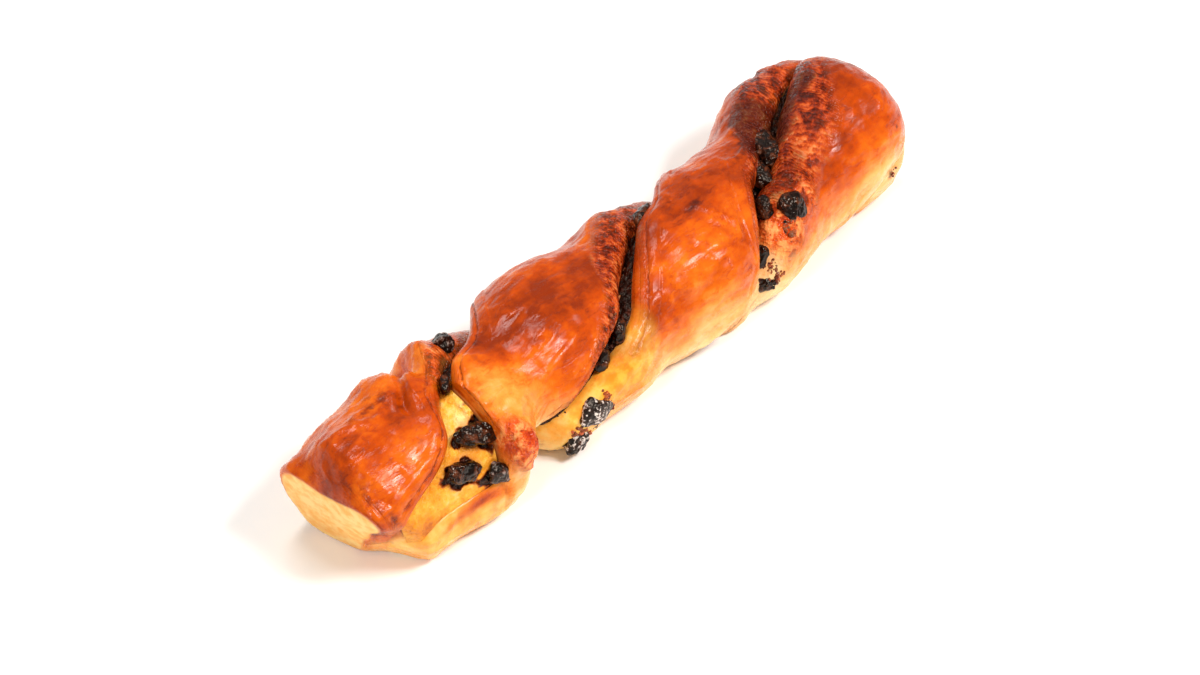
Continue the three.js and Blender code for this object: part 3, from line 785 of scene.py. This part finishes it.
def marks_of(layer, points, rows, angle, radius, torn, comb, near, crumbly, lip, relief):
    """What the oven and the filling did to the surface, with painted shade in the dents and some painted sheen,
    each from 0 to 1.
    """
    lift = 90 - np.abs(wrapped(angle - 90))
    brown = 0.08 + 0.62 * smooth(-42, 38, lift + 8 * lattice_noise(points, 14, 31)) + oven(rows)
    # Pale marks lighten the colour: dough the heat barely reached, and in some places a painted sheen of the
    # glaze.
    brown = brown + 0.2 * smooth(52, 84, lift) - spots(rows, angle, radius, PALE_AND_SHEEN)
    outline, soft, wet = SOAKED[layer]
    blush = spots(rows, angle, radius, BLUSHED)
    soaked = wet * patch(rows, angle, radius, outline, soft) * np.clip(1 - blush, 0, 1)
    # Painted shade: the crust is painted browner and darker where the relief dips, and paler on raised bumps.
    brown = brown + 0.55 * blush - 0.22 * relief
    burnt = spots(rows, angle, radius, BURNT)
    if layer == 2:
        turned = wrapped(angle)
        flap = 0.68 * smooth(-100, 0, turned) * (1 - smooth(100, 150, turned)) * (1 - smooth(36, 50, rows))
        brown = np.maximum(brown, flap)
    return {
        "brown": brown, "soaked": soaked, "burnt": np.clip(burnt, 0, 1), "crumbly": crumbly,
        "torn": torn * (1 - 0.7 * soaked), "comb": comb, "near": near, "lip": lip,
    }


shapes = []
marks = []
for layer, (rows, angle, radius, off) in ((1, one), (2, two)):
    points, high, *parts = baked_relief(layer, rows, angle, radius, off)
    marks.append(marks_of(layer, points, rows, angle, radius, *parts))
    shapes.append(place(rows, angle, radius + high * fullness(rows)))
    print(f"layer {layer}: relief from {high.min():.1f} to {high.max():.1f} mm")

# %% [markdown]
# ## Inside faces and ends
#
# The sandwich has an inside too, because the custard runs right through it. Its faces follow a bent line
# from one seam to the other, a little apart from the custard, so that the crust is a closed solid like the
# real dough. The left end is a cut face, and the right end is round.

# %% Inside faces


def bend(s, t, offset):
    """A point on the bent line between the seams, moved sideways by an offset."""
    ends = []
    for seam, depth in ((seam_shut, depth_shut), (seam_open, depth_open)):
        angle = np.radians(seam(s))
        r = body_radius(s, seam(s)) - depth(s) - SPREAD - 1
        ends.append(np.stack([r * np.cos(angle), r * np.sin(angle)], -1))
    point = (1 - t) ** 2 * ends[0] + t**2 * ends[1]
    way = -2 * (1 - t) * ends[0] + 2 * t * ends[1]
    way = way / np.linalg.norm(way, axis=-1, keepdims=True)
    point = point + offset * np.stack([way[..., 1], -way[..., 0]], -1)
    return np.degrees(np.arctan2(point[..., 1], point[..., 0])), np.hypot(point[..., 0], point[..., 1])


def leg(rim, foot, steps):
    """From a rim down to the bent line, thin near the rim."""
    near_foot = rim[0] + wrapped(foot[0] - rim[0])
    f = np.arange(1, steps) / steps
    ease = 1 - (1 - f) ** 2
    angle = rim[0][:, None] + (near_foot - rim[0])[:, None] * f
    return angle, rim[1][:, None] + (foot[1] - rim[1])[:, None] * ease


def inside_face(s, open_rim, shut_rim, offset, lift=0.0):
    """Angles and radii between two rims, from the open seam to the shut one."""
    bent = [bend(s, k / BEND_STEPS, offset) for k in range(BEND_STEPS, -1, -1)]
    bent[0] = (bent[0][0], bent[0][1] + lift)
    bent[-1] = (bent[-1][0], bent[-1][1] + lift)
    first = leg(open_rim, bent[0], LEG_STEPS)
    last = leg(shut_rim, bent[-1], LEG_STEPS)
    core = (np.stack([b[0] for b in bent], 1), np.stack([b[1] for b in bent], 1))
    return [np.concatenate([first[k], core[k], last[k][:, ::-1]], axis=1) for k in (0, 1)]


def rim_of(grid, column):
    return grid[1][in_slot, column], grid[2][in_slot, column]


slot_rows = stations[in_slot]
faces_in = []
for open_rim, shut_rim, offset in (
    (rim_of(one, -1), rim_of(one, 0), FILLING_HALF),
    (rim_of(two, 0), rim_of(two, -1), -FILLING_HALF),
):
    angle, radius = inside_face(slot_rows, open_rim, shut_rim, offset)
    faces_in.append(place(slot_rows[:, None], angle, radius))
print("columns on each inside face:", faces_in[0].shape[1])

# %% Sew the crust together


def store(mesh, name, values):
    """Keeps one number for each point of a mesh, for its finish to read."""
    mesh.attributes.new(name, "FLOAT", "POINT").data.foreach_set("value", values.astype(np.float32))


class Sewing:
    """Points and four-sided faces that are collected in blocks, each point with its marks."""

    def __init__(self):
        self.points = []
        self.marks = []
        self.count = 0
        self.quads = []
        self.triangles = np.zeros((0, 3), int)

    def add(self, block, **marks):
        flat = block.reshape(-1, 3)
        numbers = self.count + np.arange(len(flat)).reshape(block.shape[:-1])
        self.points.append(flat)
        self.marks.append({k: np.broadcast_to(v, block.shape[:-1]).ravel() for k, v in marks.items()})
        self.count += len(flat)
        return numbers

    def sheet(self, grid, flip=False):
        quads = np.stack([grid[:-1, :-1], grid[1:, :-1], grid[1:, 1:], grid[:-1, 1:]], -1).reshape(-1, 4)
        self.quads.append(quads[:, ::-1] if flip else quads)

    def fan(self, ring, tip, flip=False):
        fan = np.stack([ring[:-1], np.full(len(ring) - 1, tip), ring[1:]], -1)
        self.triangles = np.concatenate([self.triangles, fan[:, ::-1] if flip else fan])

    def mesh(self, name):
        made = bpy.data.meshes.new(name)
        points = np.concatenate(self.points) / 1000
        quads = np.concatenate(self.quads)
        corners = np.concatenate([quads.ravel(), self.triangles.ravel()])
        starts = np.concatenate([np.arange(len(quads)) * 4, quads.size + np.arange(len(self.triangles)) * 3])
        made.vertices.add(len(points))
        made.vertices.foreach_set("co", points.ravel())
        made.loops.add(len(corners))
        made.loops.foreach_set("vertex_index", corners.astype(np.int32))
        made.polygons.add(len(starts))
        made.polygons.foreach_set("loop_start", starts.astype(np.int32))
        made.polygons.foreach_set("use_smooth", np.ones(len(starts), bool))
        made.update(calc_edges=True)
        made.validate()
        for mark in sorted({k for block in self.marks for k in block}):
            blank = [np.zeros(len(block)) for block in self.points]
            store(made, mark, np.concatenate([m.get(mark, b) for m, b in zip(self.marks, blank)]))
        return made


def piece(mesh, finish, slot, *nodes):
    """An object for a mesh, which rides on the body and stands for some of the solids."""
    mesh.materials.append(finish)
    made = bpy.data.objects.new(mesh.name, mesh)
    bpy.context.scene.collection.objects.link(made)
    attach(made, "root")
    if nodes:
        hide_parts(*nodes)
    return made


CAP_RINGS = 16
crust = Sewing()
grid_one = crust.add(shapes[0], **marks[0])
grid_two = crust.add(shapes[1], **marks[1])
in_one = crust.add(faces_in[0], inside=1.0, near=1.0)
in_two = crust.add(faces_in[1], inside=1.0, near=1.0)
crust.sheet(grid_one)
crust.sheet(grid_two)
slot_index = np.nonzero(in_slot)[0]
wall_one = np.concatenate([grid_one[slot_index, -1:], in_one, grid_one[slot_index, :1]], axis=1)
wall_two = np.concatenate([grid_two[slot_index, :1], in_two, grid_two[slot_index, -1:]], axis=1)
crust.sheet(wall_one)
crust.sheet(wall_two, flip=True)
crust.sheet(np.stack([wall_one[0], wall_two[0]]), flip=True)
crust.sheet(np.stack([wall_one[-1], wall_two[-1]]))
for part in (slice(0, slot_index[0] + 1), slice(slot_index[-1], len(stations))):
    crust.sheet(np.stack([grid_one[part, -1], grid_two[part, 0]], 1))
    crust.sheet(np.stack([grid_two[part, -1], grid_one[part, 0]], 1))
for row, flip, bulge, cut in ((0, True, -0.6, 1.0), (-1, False, 0.25, 0.0)):
    ring = np.concatenate([grid_one[row], grid_two[row], grid_one[row, :1]])
    edge = np.concatenate([shapes[0][row], shapes[1][row]])
    centre = edge.mean(0)
    rings = [ring]
    for k in range(1, CAP_RINGS):
        f = k / CAP_RINGS
        block = edge + (centre - edge) * f
        block[:, 0] += bulge * np.sqrt(1 - (1 - f) ** 2)
        numbers = crust.add(block, inside=cut, near=9.0, brown=0.6)
        rings.append(np.append(numbers, numbers[0]))
    tip = crust.add((centre + [bulge, 0, 0])[None], inside=cut, near=9.0, brown=0.6)
    crust.sheet(np.stack(rings), flip=flip)
    crust.fan(rings[-1], tip[0], flip=flip)
crust_mesh = crust.mesh("twist_crust")
print("crust:", len(crust_mesh.vertices), "points,", len(crust_mesh.polygons), "faces")

# %% [markdown]
# ## The finish of the crust
#
# Egg wash browns where the heat reaches it and stays pale where one fold shades another. The oven's work is
# stored on the mesh as numbers, together with painted shade in the dents and some painted sheen, and the
# finish turns them into colour: a ramp runs from raw yellow over orange to deep brown, cut edges are redder
# and rougher, and the wash leaves a thin gloss over it all. The ramp is also pushed darker in the fine
# creases of the bump, as painted shade.

# %% Crust finish
baked = Finish("egg_washed_crust")
brown = baked.stored("brown")
near = baked.stored("near")
comb = baked.stored("comb")
torn = baked.stored("torn")
soaked = baked.stored("soaked")
burnt = baked.stored("burnt")
crumbly = baked.stored("crumbly")
inner = baked.stored("inside")
lip = baked.stored("lip")
patches = baked.noise(70, 4, 0.6).step(0.32, 0.68)
mottle = baked.noise(330, 4, 0.62, shift=3.1).step(0.3, 0.7)
speck = baked.noise(1300, 2, 0.5, shift=5.3)
blotch = baked.noise(150, 3, 0.6, shift=7.7).step(0.36, 0.64)
wrinkles = baked.noise(620, 3, 0.55, stretch=(0.3, 1.0, 1.0), shift=1.9)
fine = baked.noise(1500, 3, 0.6, stretch=(0.4, 1.0, 1.0), shift=4.4)
folds = baked.noise(210, 2, 0.5, stretch=(0.35, 1.0, 1.0), shift=8.2)
# Thin crease lines, cut into the bump below and painted darker in the colour as painted crease shade.
crease_lines = 1 - (folds + (wrinkles - 0.5) * 0.5 - 0.5).distance().step(0.0, 0.035)
crease_lines = crease_lines * mottle
uneven = (patches - 0.5) * 0.14 + (blotch - 0.5) * 0.1 + (mottle - 0.5) * 0.08
# The ramp's input: the stored browning with its painted shade and sheen, random unevenness, and painted shade in
# the bump's creases, darker where the wrinkle noise runs low and along the crease lines.
heat_shade_and_sheen = brown + uneven + (0.5 - wrinkles) * 0.18 + crease_lines * 0.1
skin = baked.ramp(heat_shade_and_sheen, [
    (0.0, paint(254, 214, 150)),
    (0.2, paint(250, 180, 104)),
    (0.4, paint(240, 142, 54)),
    (0.6, paint(218, 100, 14)),
    (0.8, paint(184, 66, 2)),
    (1.0, paint(136, 42, 2)),
])
burn = burnt * 1.5 + (patches - 0.5) * 0.6 + (mottle - 0.5) * 0.7
ridge = (comb * COMBED + patches * 5 + mottle * 4).wave()
shred = baked.ramp(mottle * 0.45 + ridge * 0.1 + patches * 0.25 + speck * 0.2, [
    (0.25, paint(56, 14, 6)),
    (0.4, paint(124, 34, 8)),
    (0.54, paint(184, 62, 16)),
    (0.68, paint(218, 98, 38)),
    (0.84, paint(246, 158, 90)),
])
knobby = baked.ramp(mottle * 0.6 + speck * 0.4, [
    (0.22, paint(190, 52, 12)),
    (0.46, paint(230, 90, 28)),
    (0.76, paint(254, 166, 92)),
])
shredded = baked.mix(torn * 0.92, skin, shred)
scorched = baked.mix(burn.step(0.35, 1.25) * 0.85, shredded, paint(66, 16, 6))
edged = baked.mix(crumbly * 0.9, scorched, knobby)
wet_dough = baked.ramp(patches * 0.6 + mottle * 0.4, [
    (0.1, paint(254, 208, 118)),
    (0.5, paint(252, 178, 66)),
    (0.9, paint(240, 136, 30)),
])
yellowed = baked.mix(soaked, edged, wet_dough)
fringe = (1 - near.step(2.4, 3.4)) * lip
lines = (near * 6.6 + patches * 2.0).wave().step(0.8, 0.99) * fringe
seam_line = 1 - (near - PRESSED_AT + (mottle - 0.5) * 0.5).distance().step(0.05, 0.4)
marked = (lines * 0.15 + seam_line * 0.85 * mottle * lip) * (1 - torn) * (1 - soaked)
lined = baked.mix(marked, yellowed, paint(118, 36, 14))
crumb = baked.ramp(mottle * 0.6 + patches * 0.4, [
    (0.2, paint(246, 172, 78)),
    (0.7, paint(252, 208, 134)),
])
crust_colour = baked.mix(inner, lined, crumb)
small = baked.bump(fine * 0.06 + wrinkles * 0.24 + folds - crease_lines * 0.06, 0.0014, 0.5)
ragged = ridge * 0.3 * (1 - crumbly) + mottle + speck * 0.6
crust_normal = baked.bump(ragged * torn - marked * 0.5, 0.0008, 0.9, small)
gloss = 0.23 + (mottle - 0.5) * 0.2 + inner * 0.4 - torn * 0.08
baked.surface(
    colour=crust_colour,
    normal=crust_normal,
    roughness=gloss,
    specular_ior_level=0.2,
    subsurface_weight=0.1,
    subsurface_radius=(1.0, 0.4, 0.15),
    subsurface_scale=0.002,
)
piece(crust_mesh, baked.material, "crust", "dough")

# %% [markdown]
# ## The filling
#
# Custard is squeezed out along both open edges of the sandwich, and chocolate has melted into it. It is one
# band through the whole strip, with a fine grid where it shows: broad in the open gape at the left, and a
# narrow groove everywhere else. How much chocolate it holds is once more a number on the mesh.

# %% Filling
TOP_COLUMNS = 44
TOP_SWELL = 0.4
tuck_open_one = through_points([(5, 0), (40, 0.02), (44, 0.3), (184, 0.3), (192, 0)])
tuck_open_two = through_points([(5, 0), (9, 0.3), (184, 0.3), (192, 0)])
tuck_shut = through_points([(5, 0), (9, 0.3), (176, 0.3), (184, 0)])


def skin_radius(s, angle):
    """How far out the crust or, where the sandwich gapes, the filling lies."""
    plain = body_radius(s, angle) + PUFF * 0.4
    sides = ((seam_open, edge_one_open, rim_one_open), (seam_shut, edge_one_shut, rim_one_shut))
    for seam, width, depth in sides:
        away = np.abs(wrapped(angle - seam(s))) * np.radians(1) * plain / stretch_of(s, seam)
        plain = plain - depth(s) * (1 - smooth(0, 1, away / width(s)))
    return plain


# Each drop: its place along and round the strip, how deep its middle lies, its three sizes, and its turn.
DROPS = (
    (39.4, 41, 1.9, 10.6, 5, 4.4, -23), (31.1, 23, 2.0, 9.4, 4.8, 4, -26), (41, 4.5, 1.4, 8.2, 5.4, 4.2, -31),
    (42.4, 92, 1.6, 6, 2.2, 3, 50), (53.6, 129, 0.8, 5, 4.4, 5, 20), (75.2, -12, 1.0, 10.4, 8, 5.4, -31),
    (69.6, -31, -0.2, 6, 5.6, 5.4, 70), (82, 21, 4.2, 6, 3.6, 4.2, 50), (90, 34, 4.6, 6, 3.6, 4.4, 55),
    (119.6, 114, 2.4, 9, 3.8, 4.4, 35), (152, 35, 0.9, 8, 7.6, 5, 0), (146.4, 50, 4.4, 6, 3.8, 4.4, 70),
    (138.6, -16, 1.4, 4.4, 4, 4, 0), (139.4, 6, 4.0, 6, 3.6, 4.2, 70), (155, 82, 5.6, 8, 4.6, 5, 65),
    (163, 97, 5.4, 12, 6.6, 5.6, 60), (82, 202, 2.2, 6, 5, 5, 40), (147, 200, 2.4, 6, 5, 5, 60),
)
melted_open = through_points([
    (0, 0), (34, 0.1), (42, 0.35), (47, 0.9), (60, 0.8), (130, 0.7), (136, 0.95), (176, 1), (192, 0.7),
])
melted_shut = through_points([(0, 0.1), (58, 0.3), (63, 0.95), (131, 1), (150, 0.7), (192, 0.5)])


def rim_at(s, angle, depth, tuck):
    """The edge of the filling's top, tucked in under a rim of the crust."""
    radius = body_radius(s, angle) - depth * fullness(s)
    return angle - np.degrees(tuck / radius), radius - np.abs(tuck)


CREAMY = (
    (38.5, 62, 4, 5, 1.0), (35, 20, 5, 2, 0.6), (26, 10, 8, 3, 0.5), (33, 50, 4, 4, 0.5), (13, 0, 7, 4, -1.0),
    (5, -44, 4, 5, -0.8), (22, 0, 3, 2, -0.5),
)


def filling_top(s, a, b, melted, columns, seed):
    """The open top of the filling between two rims, with its chocolate, pale custard and stains."""
    f = np.linspace(0, 1, columns)
    span = (b[0] - a[0])[:, None]
    angle = a[0][:, None] + span * f
    wide = np.abs(np.radians(b[0] - a[0])) * a[1]
    swell = TOP_SWELL * smooth(0.6, 2.2, wide)[:, None]
    radius = a[1][:, None] + (b[1] - a[1])[:, None] * f + 4 * swell * f * (1 - f)
    ra, rb = a[1][:, None], b[1][:, None]
    turn = np.radians(span)
    straight = ra * rb * np.sin(turn) / (ra * np.sin(turn * f) + rb * np.sin(turn * (1 - f)))
    begun = smooth(SLOT[0], SLOT[0] + 4, s)[:, None]
    radius = straight + (radius - straight) * begun
    rows = np.broadcast_to(s[:, None], angle.shape)
    points = place(rows, angle, radius)
    dark = melted(rows)
    halo = 0.0
    for at, towards, _, long, wide, _, _ in DROPS:
        dark = np.maximum(dark, 0.75 * spot(rows, angle, radius, at, towards, long * 0.62, wide * 0.75))
        halo = np.maximum(halo, spot(rows, angle, radius, at, towards, long * 0.8, wide * 1.1))
    dark = smooth(0.35, 0.65, dark + 0.45 * rough_noise(points, 3.5, 3, seed))
    clots = 0.8 * rough_noise(points, 3.6, 3, seed + 1) + 0.7 * np.abs(lattice_noise(points, 1.6, seed + 2))
    lumps = dark * (clots - 0.3)
    ripples = 0.35 * lattice_noise(points, 5, seed + 3) + 0.12 * lattice_noise(points, 2, seed + 4)
    waves = (1 - dark) * ripples
    calm = smooth(0, 0.12, f) * smooth(0, 0.12, 1 - f) * begun
    cream = spots(rows, angle, radius, CREAMY)
    return place(rows, angle, radius + (lumps + waves) * calm), {"dark": dark, "cream": cream, "halo": halo}


e = edge_angles(slot_rows)
ahead = edge_angles(slot_rows + 0.9)
mouth = slot_rows > 30
leading = np.where(mouth, np.maximum(e["one_open"], ahead["one_open"]), e["one_open"])
open_one = rim_at(slot_rows, leading, rim_one_open(slot_rows), tuck_open_one(slot_rows))
open_two = rim_at(slot_rows, e["two_open"], rim_two_open(slot_rows), -tuck_open_two(slot_rows))
shut_two = rim_at(slot_rows, e["two_shut"], rim_two_shut(slot_rows), tuck_shut(slot_rows))
shut_one = rim_at(slot_rows, e["one_shut"] + 360, rim_one_shut(slot_rows), -tuck_shut(slot_rows))
open_top, open_marks = filling_top(slot_rows, open_two, open_one, melted_open, TOP_COLUMNS, 50)
shut_top, shut_marks = filling_top(slot_rows, shut_one, shut_two, melted_shut, TOP_COLUMNS // 3, 60)
half = FILLING_HALF - CLEARANCE
side_one = place(slot_rows[:, None], *inside_face(slot_rows, open_one, shut_one, half, CLEARANCE))
side_two = place(slot_rows[:, None], *inside_face(slot_rows, open_two, shut_two, -half, CLEARANCE))

filling = Sewing()
top_ids = filling.add(open_top, **open_marks)
one_ids = filling.add(side_one)
shut_ids = filling.add(shut_top, **shut_marks)
two_ids = filling.add(side_two[:, ::-1])
ring = np.concatenate([top_ids, one_ids, shut_ids, two_ids, top_ids[:, :1]], axis=1)
filling.sheet(ring)
filling_mesh = filling.mesh("custard_and_chocolate")
print("filling:", len(filling_mesh.polygons), "faces")

# %% Filling finish
custard = Finish("custard_with_chocolate")
dark = custard.stored("dark")
cream = custard.stored("cream")
halo = custard.stored("halo")
swirl = custard.noise(160, 4, 0.6)
fine = custard.noise(800, 4, 0.6, shift=2.3)
yellow = custard.ramp(swirl * 0.7 + fine * 0.3 + cream * 0.2, [
    (0.25, paint(200, 100, 10)),
    (0.42, paint(238, 142, 22)),
    (0.58, paint(250, 178, 58)),
    (0.75, paint(254, 218, 140)),
])
melt = custard.ramp(fine * 0.6 + swirl * 0.4, [
    (0.35, paint(10, 4, 3)),
    (0.5, paint(30, 11, 7)),
    (0.66, paint(84, 30, 12)),
    (0.8, paint(170, 74, 26)),
])
browned = custard.mix((halo + (swirl - 0.5) * 0.8).step(0.35, 0.9) * 0.75, yellow, paint(200, 98, 22))
stained = custard.mix(dark.step(0.05, 0.45), browned, paint(150, 62, 14))
lumpy = custard.noise(420, 2, 0.5, shift=6.1)
melted = dark.step(0.4, 0.9)
custard.surface(
    colour=custard.mix(melted, stained, melt),
    normal=custard.bump(fine * 0.5 + swirl + lumpy * melted * 2.0, 0.002, 0.9),
    roughness=0.1 + fine * 0.2,
    specular_ior_level=0.3,
    specular_tint=(1.0, 0.86, 0.7, 1.0),
)
piece(filling_mesh, custard.material, "custard", "filling")

# %% [markdown]
# ## Chocolate drops
#
# The drops softened in the oven and set again. Where they lay in the custard they are wet and ragged, and
# where they stuck out they are dry, blunt and dusty. Each begins as a ball, is pressed towards a block, and
# then gets its own noise.

# %% Drops
# How ragged and how dry each drop is.
RAGGED = (1.0, 1.0, 0.25, 0.6, 0.3, 0.3, 1.0, 0.7, 0.7, 0.5, 0.2, 0.8, 0.7, 0.8, 0.9, 0.9, 0.5, 0.5)
DRY = (0.1, 0.1, 0.5, 0.3, 0.5, 1.0, 0.9, 0.2, 0.2, 0.2, 0.05, 0.1, 0.2, 0.2, 0.1, 0.1, 0.5, 0.5)

ball = bmesh.new()
bmesh.ops.create_icosphere(ball, subdivisions=5, radius=1.0)
ball_points = np.array([v.co[:] for v in ball.verts])
ball_faces = np.array([[v.index for v in f.verts] for f in ball.faces])
ball.free()


def lump(index, drop):
    """One drop: its points in millimetres where it lies on the strip."""
    s, angle, depth, long, wide, thick, turn = drop
    p = ball_points
    boxy = (np.abs(p) ** 3).sum(1) ** (-1 / 3)
    uneven = 1 + 0.07 * np.sin(3.1 * p[:, 0] + 2.3 * p[:, 1] + 4.7 * p[:, 2] + 1.9 * index)
    shape = p * (boxy * uneven)[:, None] * np.array([long, wide, thick]) / 2
    own = shape + 40 * index
    noise = 0.6 * rough_noise(own, 2.6, 3, 70) + 0.5 * np.abs(lattice_noise(own, 1.1, 75))
    shape = shape * (1 + RAGGED[index] * 0.32 * noise)[:, None]
    shape = shape + p * (0.12 * rough_noise(shape + 9 * index, 0.9, 2, 80))[:, None]
    a, t = np.radians(angle), np.radians(turn)
    around = np.array([0, np.sin(a), np.cos(a)])
    out = np.array([0, -np.cos(a), np.sin(a)])
    first = np.cos(t) * np.array([1.0, 0, 0]) + np.sin(t) * around
    second = -np.sin(t) * np.array([1.0, 0, 0]) + np.cos(t) * around
    middle = place(np.array(s), np.array(angle), body_radius(np.array(s), np.array(angle)) - depth)
    return middle + shape @ np.stack([first, second, out])


drop_points = np.concatenate([lump(i, drop) for i, drop in enumerate(DROPS)])
drop_faces = np.concatenate([ball_faces + i * len(ball_points) for i in range(len(DROPS))])
drops_mesh = bpy.data.meshes.new("chocolate_drops")
drops_mesh.from_pydata((drop_points / 1000).tolist(), [], drop_faces.tolist())
drops_mesh.polygons.foreach_set("use_smooth", np.ones(len(drop_faces), bool))
store(drops_mesh, "dry", np.repeat(np.array(DRY), len(ball_points)))
print("drops:", len(drop_faces), "faces")

# %% Drop finish
chocolate = Finish("baked_chocolate")
dry = chocolate.stored("dry")
grain = chocolate.noise(900, 3, 0.6)
cloud = chocolate.noise(420, 2, 0.5, shift=4.2)
body = chocolate.ramp(cloud * 0.5 + grain * 0.5, [
    (0.35, paint(4, 2, 2)),
    (0.5, paint(24, 9, 5)),
    (0.64, paint(92, 44, 22)),
])
dust = (grain * 0.75 + cloud * 0.25).step(0.52, 0.6) * dry.step(0.3, 1.0)
chocolate.surface(
    colour=chocolate.mix(dust, body, paint(226, 214, 204)),
    normal=chocolate.bump(grain * 0.2 + cloud, 0.0016, 0.6),
    roughness=0.1 + dry * 0.25,
    specular_ior_level=0.3,
    specular_tint=(1.0, 0.86, 0.74, 1.0),
)
drop_nodes = [f"chocolate_{i + 1:02d}" for i in range(len(DROPS))]
piece(drops_mesh, chocolate.material, "chocolate", *drop_nodes)

# %% [markdown]
# ## Crumbs
#
# Torn edges shed crumbs, and melted drops leave specks round them. They are scattered by a fixed list of
# places, each with seven numbers: where along and round the strip, how many, how far apart, how big,
# whether of crust (0) or of chocolate (1), and how scorched. Each crumb is a small ball with its own noise,
# half sunk into the skin.

# %% Scattered crumbs
PLACES = (
    (78.5, -3, 34, 1.5, 1.0, 0, 0.5), (80, -12, 16, 1.2, 0.9, 0, 0.7), (70, -20, 44, 1.6, 1.2, 0, 0.6),
    (73, -32, 20, 1.6, 1.2, 0, 0.6), (74, -27, 10, 1.6, 0.9, 1, 0), (140, 0, 44, 1.5, 1.1, 0, 0.9),
    (139, -14, 14, 1.5, 1.1, 1, 0), (141, -8, 24, 1.8, 1.0, 0, 0.8), (146.5, 24, 50, 2.8, 1.1, 0, 0.3),
    (146, 27, 12, 1.6, 1.0, 1, 0), (156, 48, 12, 3.4, 0.6, 0, 0.8), (158, 70, 18, 2.6, 0.9, 0, 1.0),
    (47, 18, 46, 2.8, 1.5, 0, 0), (191, -10, 8, 1.0, 0.6, 0, 0.8), (66, 2, 8, 1.4, 0.6, 1, 0),
    (90, 40, 26, 3.0, 0.8, 0, 0.8), (98, 58, 26, 3.0, 0.8, 0, 0.8), (106, 80, 26, 3.0, 0.8, 0, 0.8),
    (160, 100, 14, 2.4, 0.9, 1, 0),
)
pick = np.random.default_rng(11)
small_ball = bmesh.new()
bmesh.ops.create_icosphere(small_ball, subdivisions=2, radius=1.0)
crumb_ball = np.array([v.co[:] for v in small_ball.verts])
crumb_faces = np.array([[v.index for v in f.verts] for f in small_ball.faces])
small_ball.free()
crumb_sets = ([], [])
scorches = ([], [])
for at, towards, count, spread, size, kind, scorch in PLACES:
    for _ in range(count):
        s = np.array(at + pick.normal(0, spread * 0.6))
        angle = np.array(towards + np.degrees(pick.normal(0, spread * 0.6) / 17))
        shape = crumb_ball * size * pick.uniform(0.25, 0.62) * pick.uniform(0.7, 1.3, 3)
        shape = shape * (1 + 0.5 * lattice_noise(shape + 30 * len(crumb_sets[kind]), 0.5, 90))[:, None]
        middle = place(s, angle, skin_radius(s, angle))
        crumb_sets[kind].append(middle + shape)
        scorches[kind].append(scorch * pick.uniform(0.2, 1))


def crumb_piece(name, sets, scorched_by, finish, slot):
    """One object for all crumbs of a kind."""
    mesh = bpy.data.meshes.new(name)
    faces = np.concatenate([crumb_faces + i * len(crumb_ball) for i in range(len(sets))])
    mesh.from_pydata((np.concatenate(sets) / 1000).tolist(), [], faces.tolist())
    mesh.polygons.foreach_set("use_smooth", np.ones(len(faces), bool))
    burnt = np.repeat(scorched_by, len(crumb_ball))
    store(mesh, "torn", np.ones(len(burnt)))
    store(mesh, "burnt", burnt)
    store(mesh, "crumbly", np.where(burnt > 0, 0.0, 1.0))
    print(name, len(sets))
    return piece(mesh, finish, slot)


crumb_piece("crust_crumbs", crumb_sets[0], scorches[0], baked.material, "crust")
crumb_piece("chocolate_crumbs", crumb_sets[1], scorches[1], chocolate.material, "chocolate")
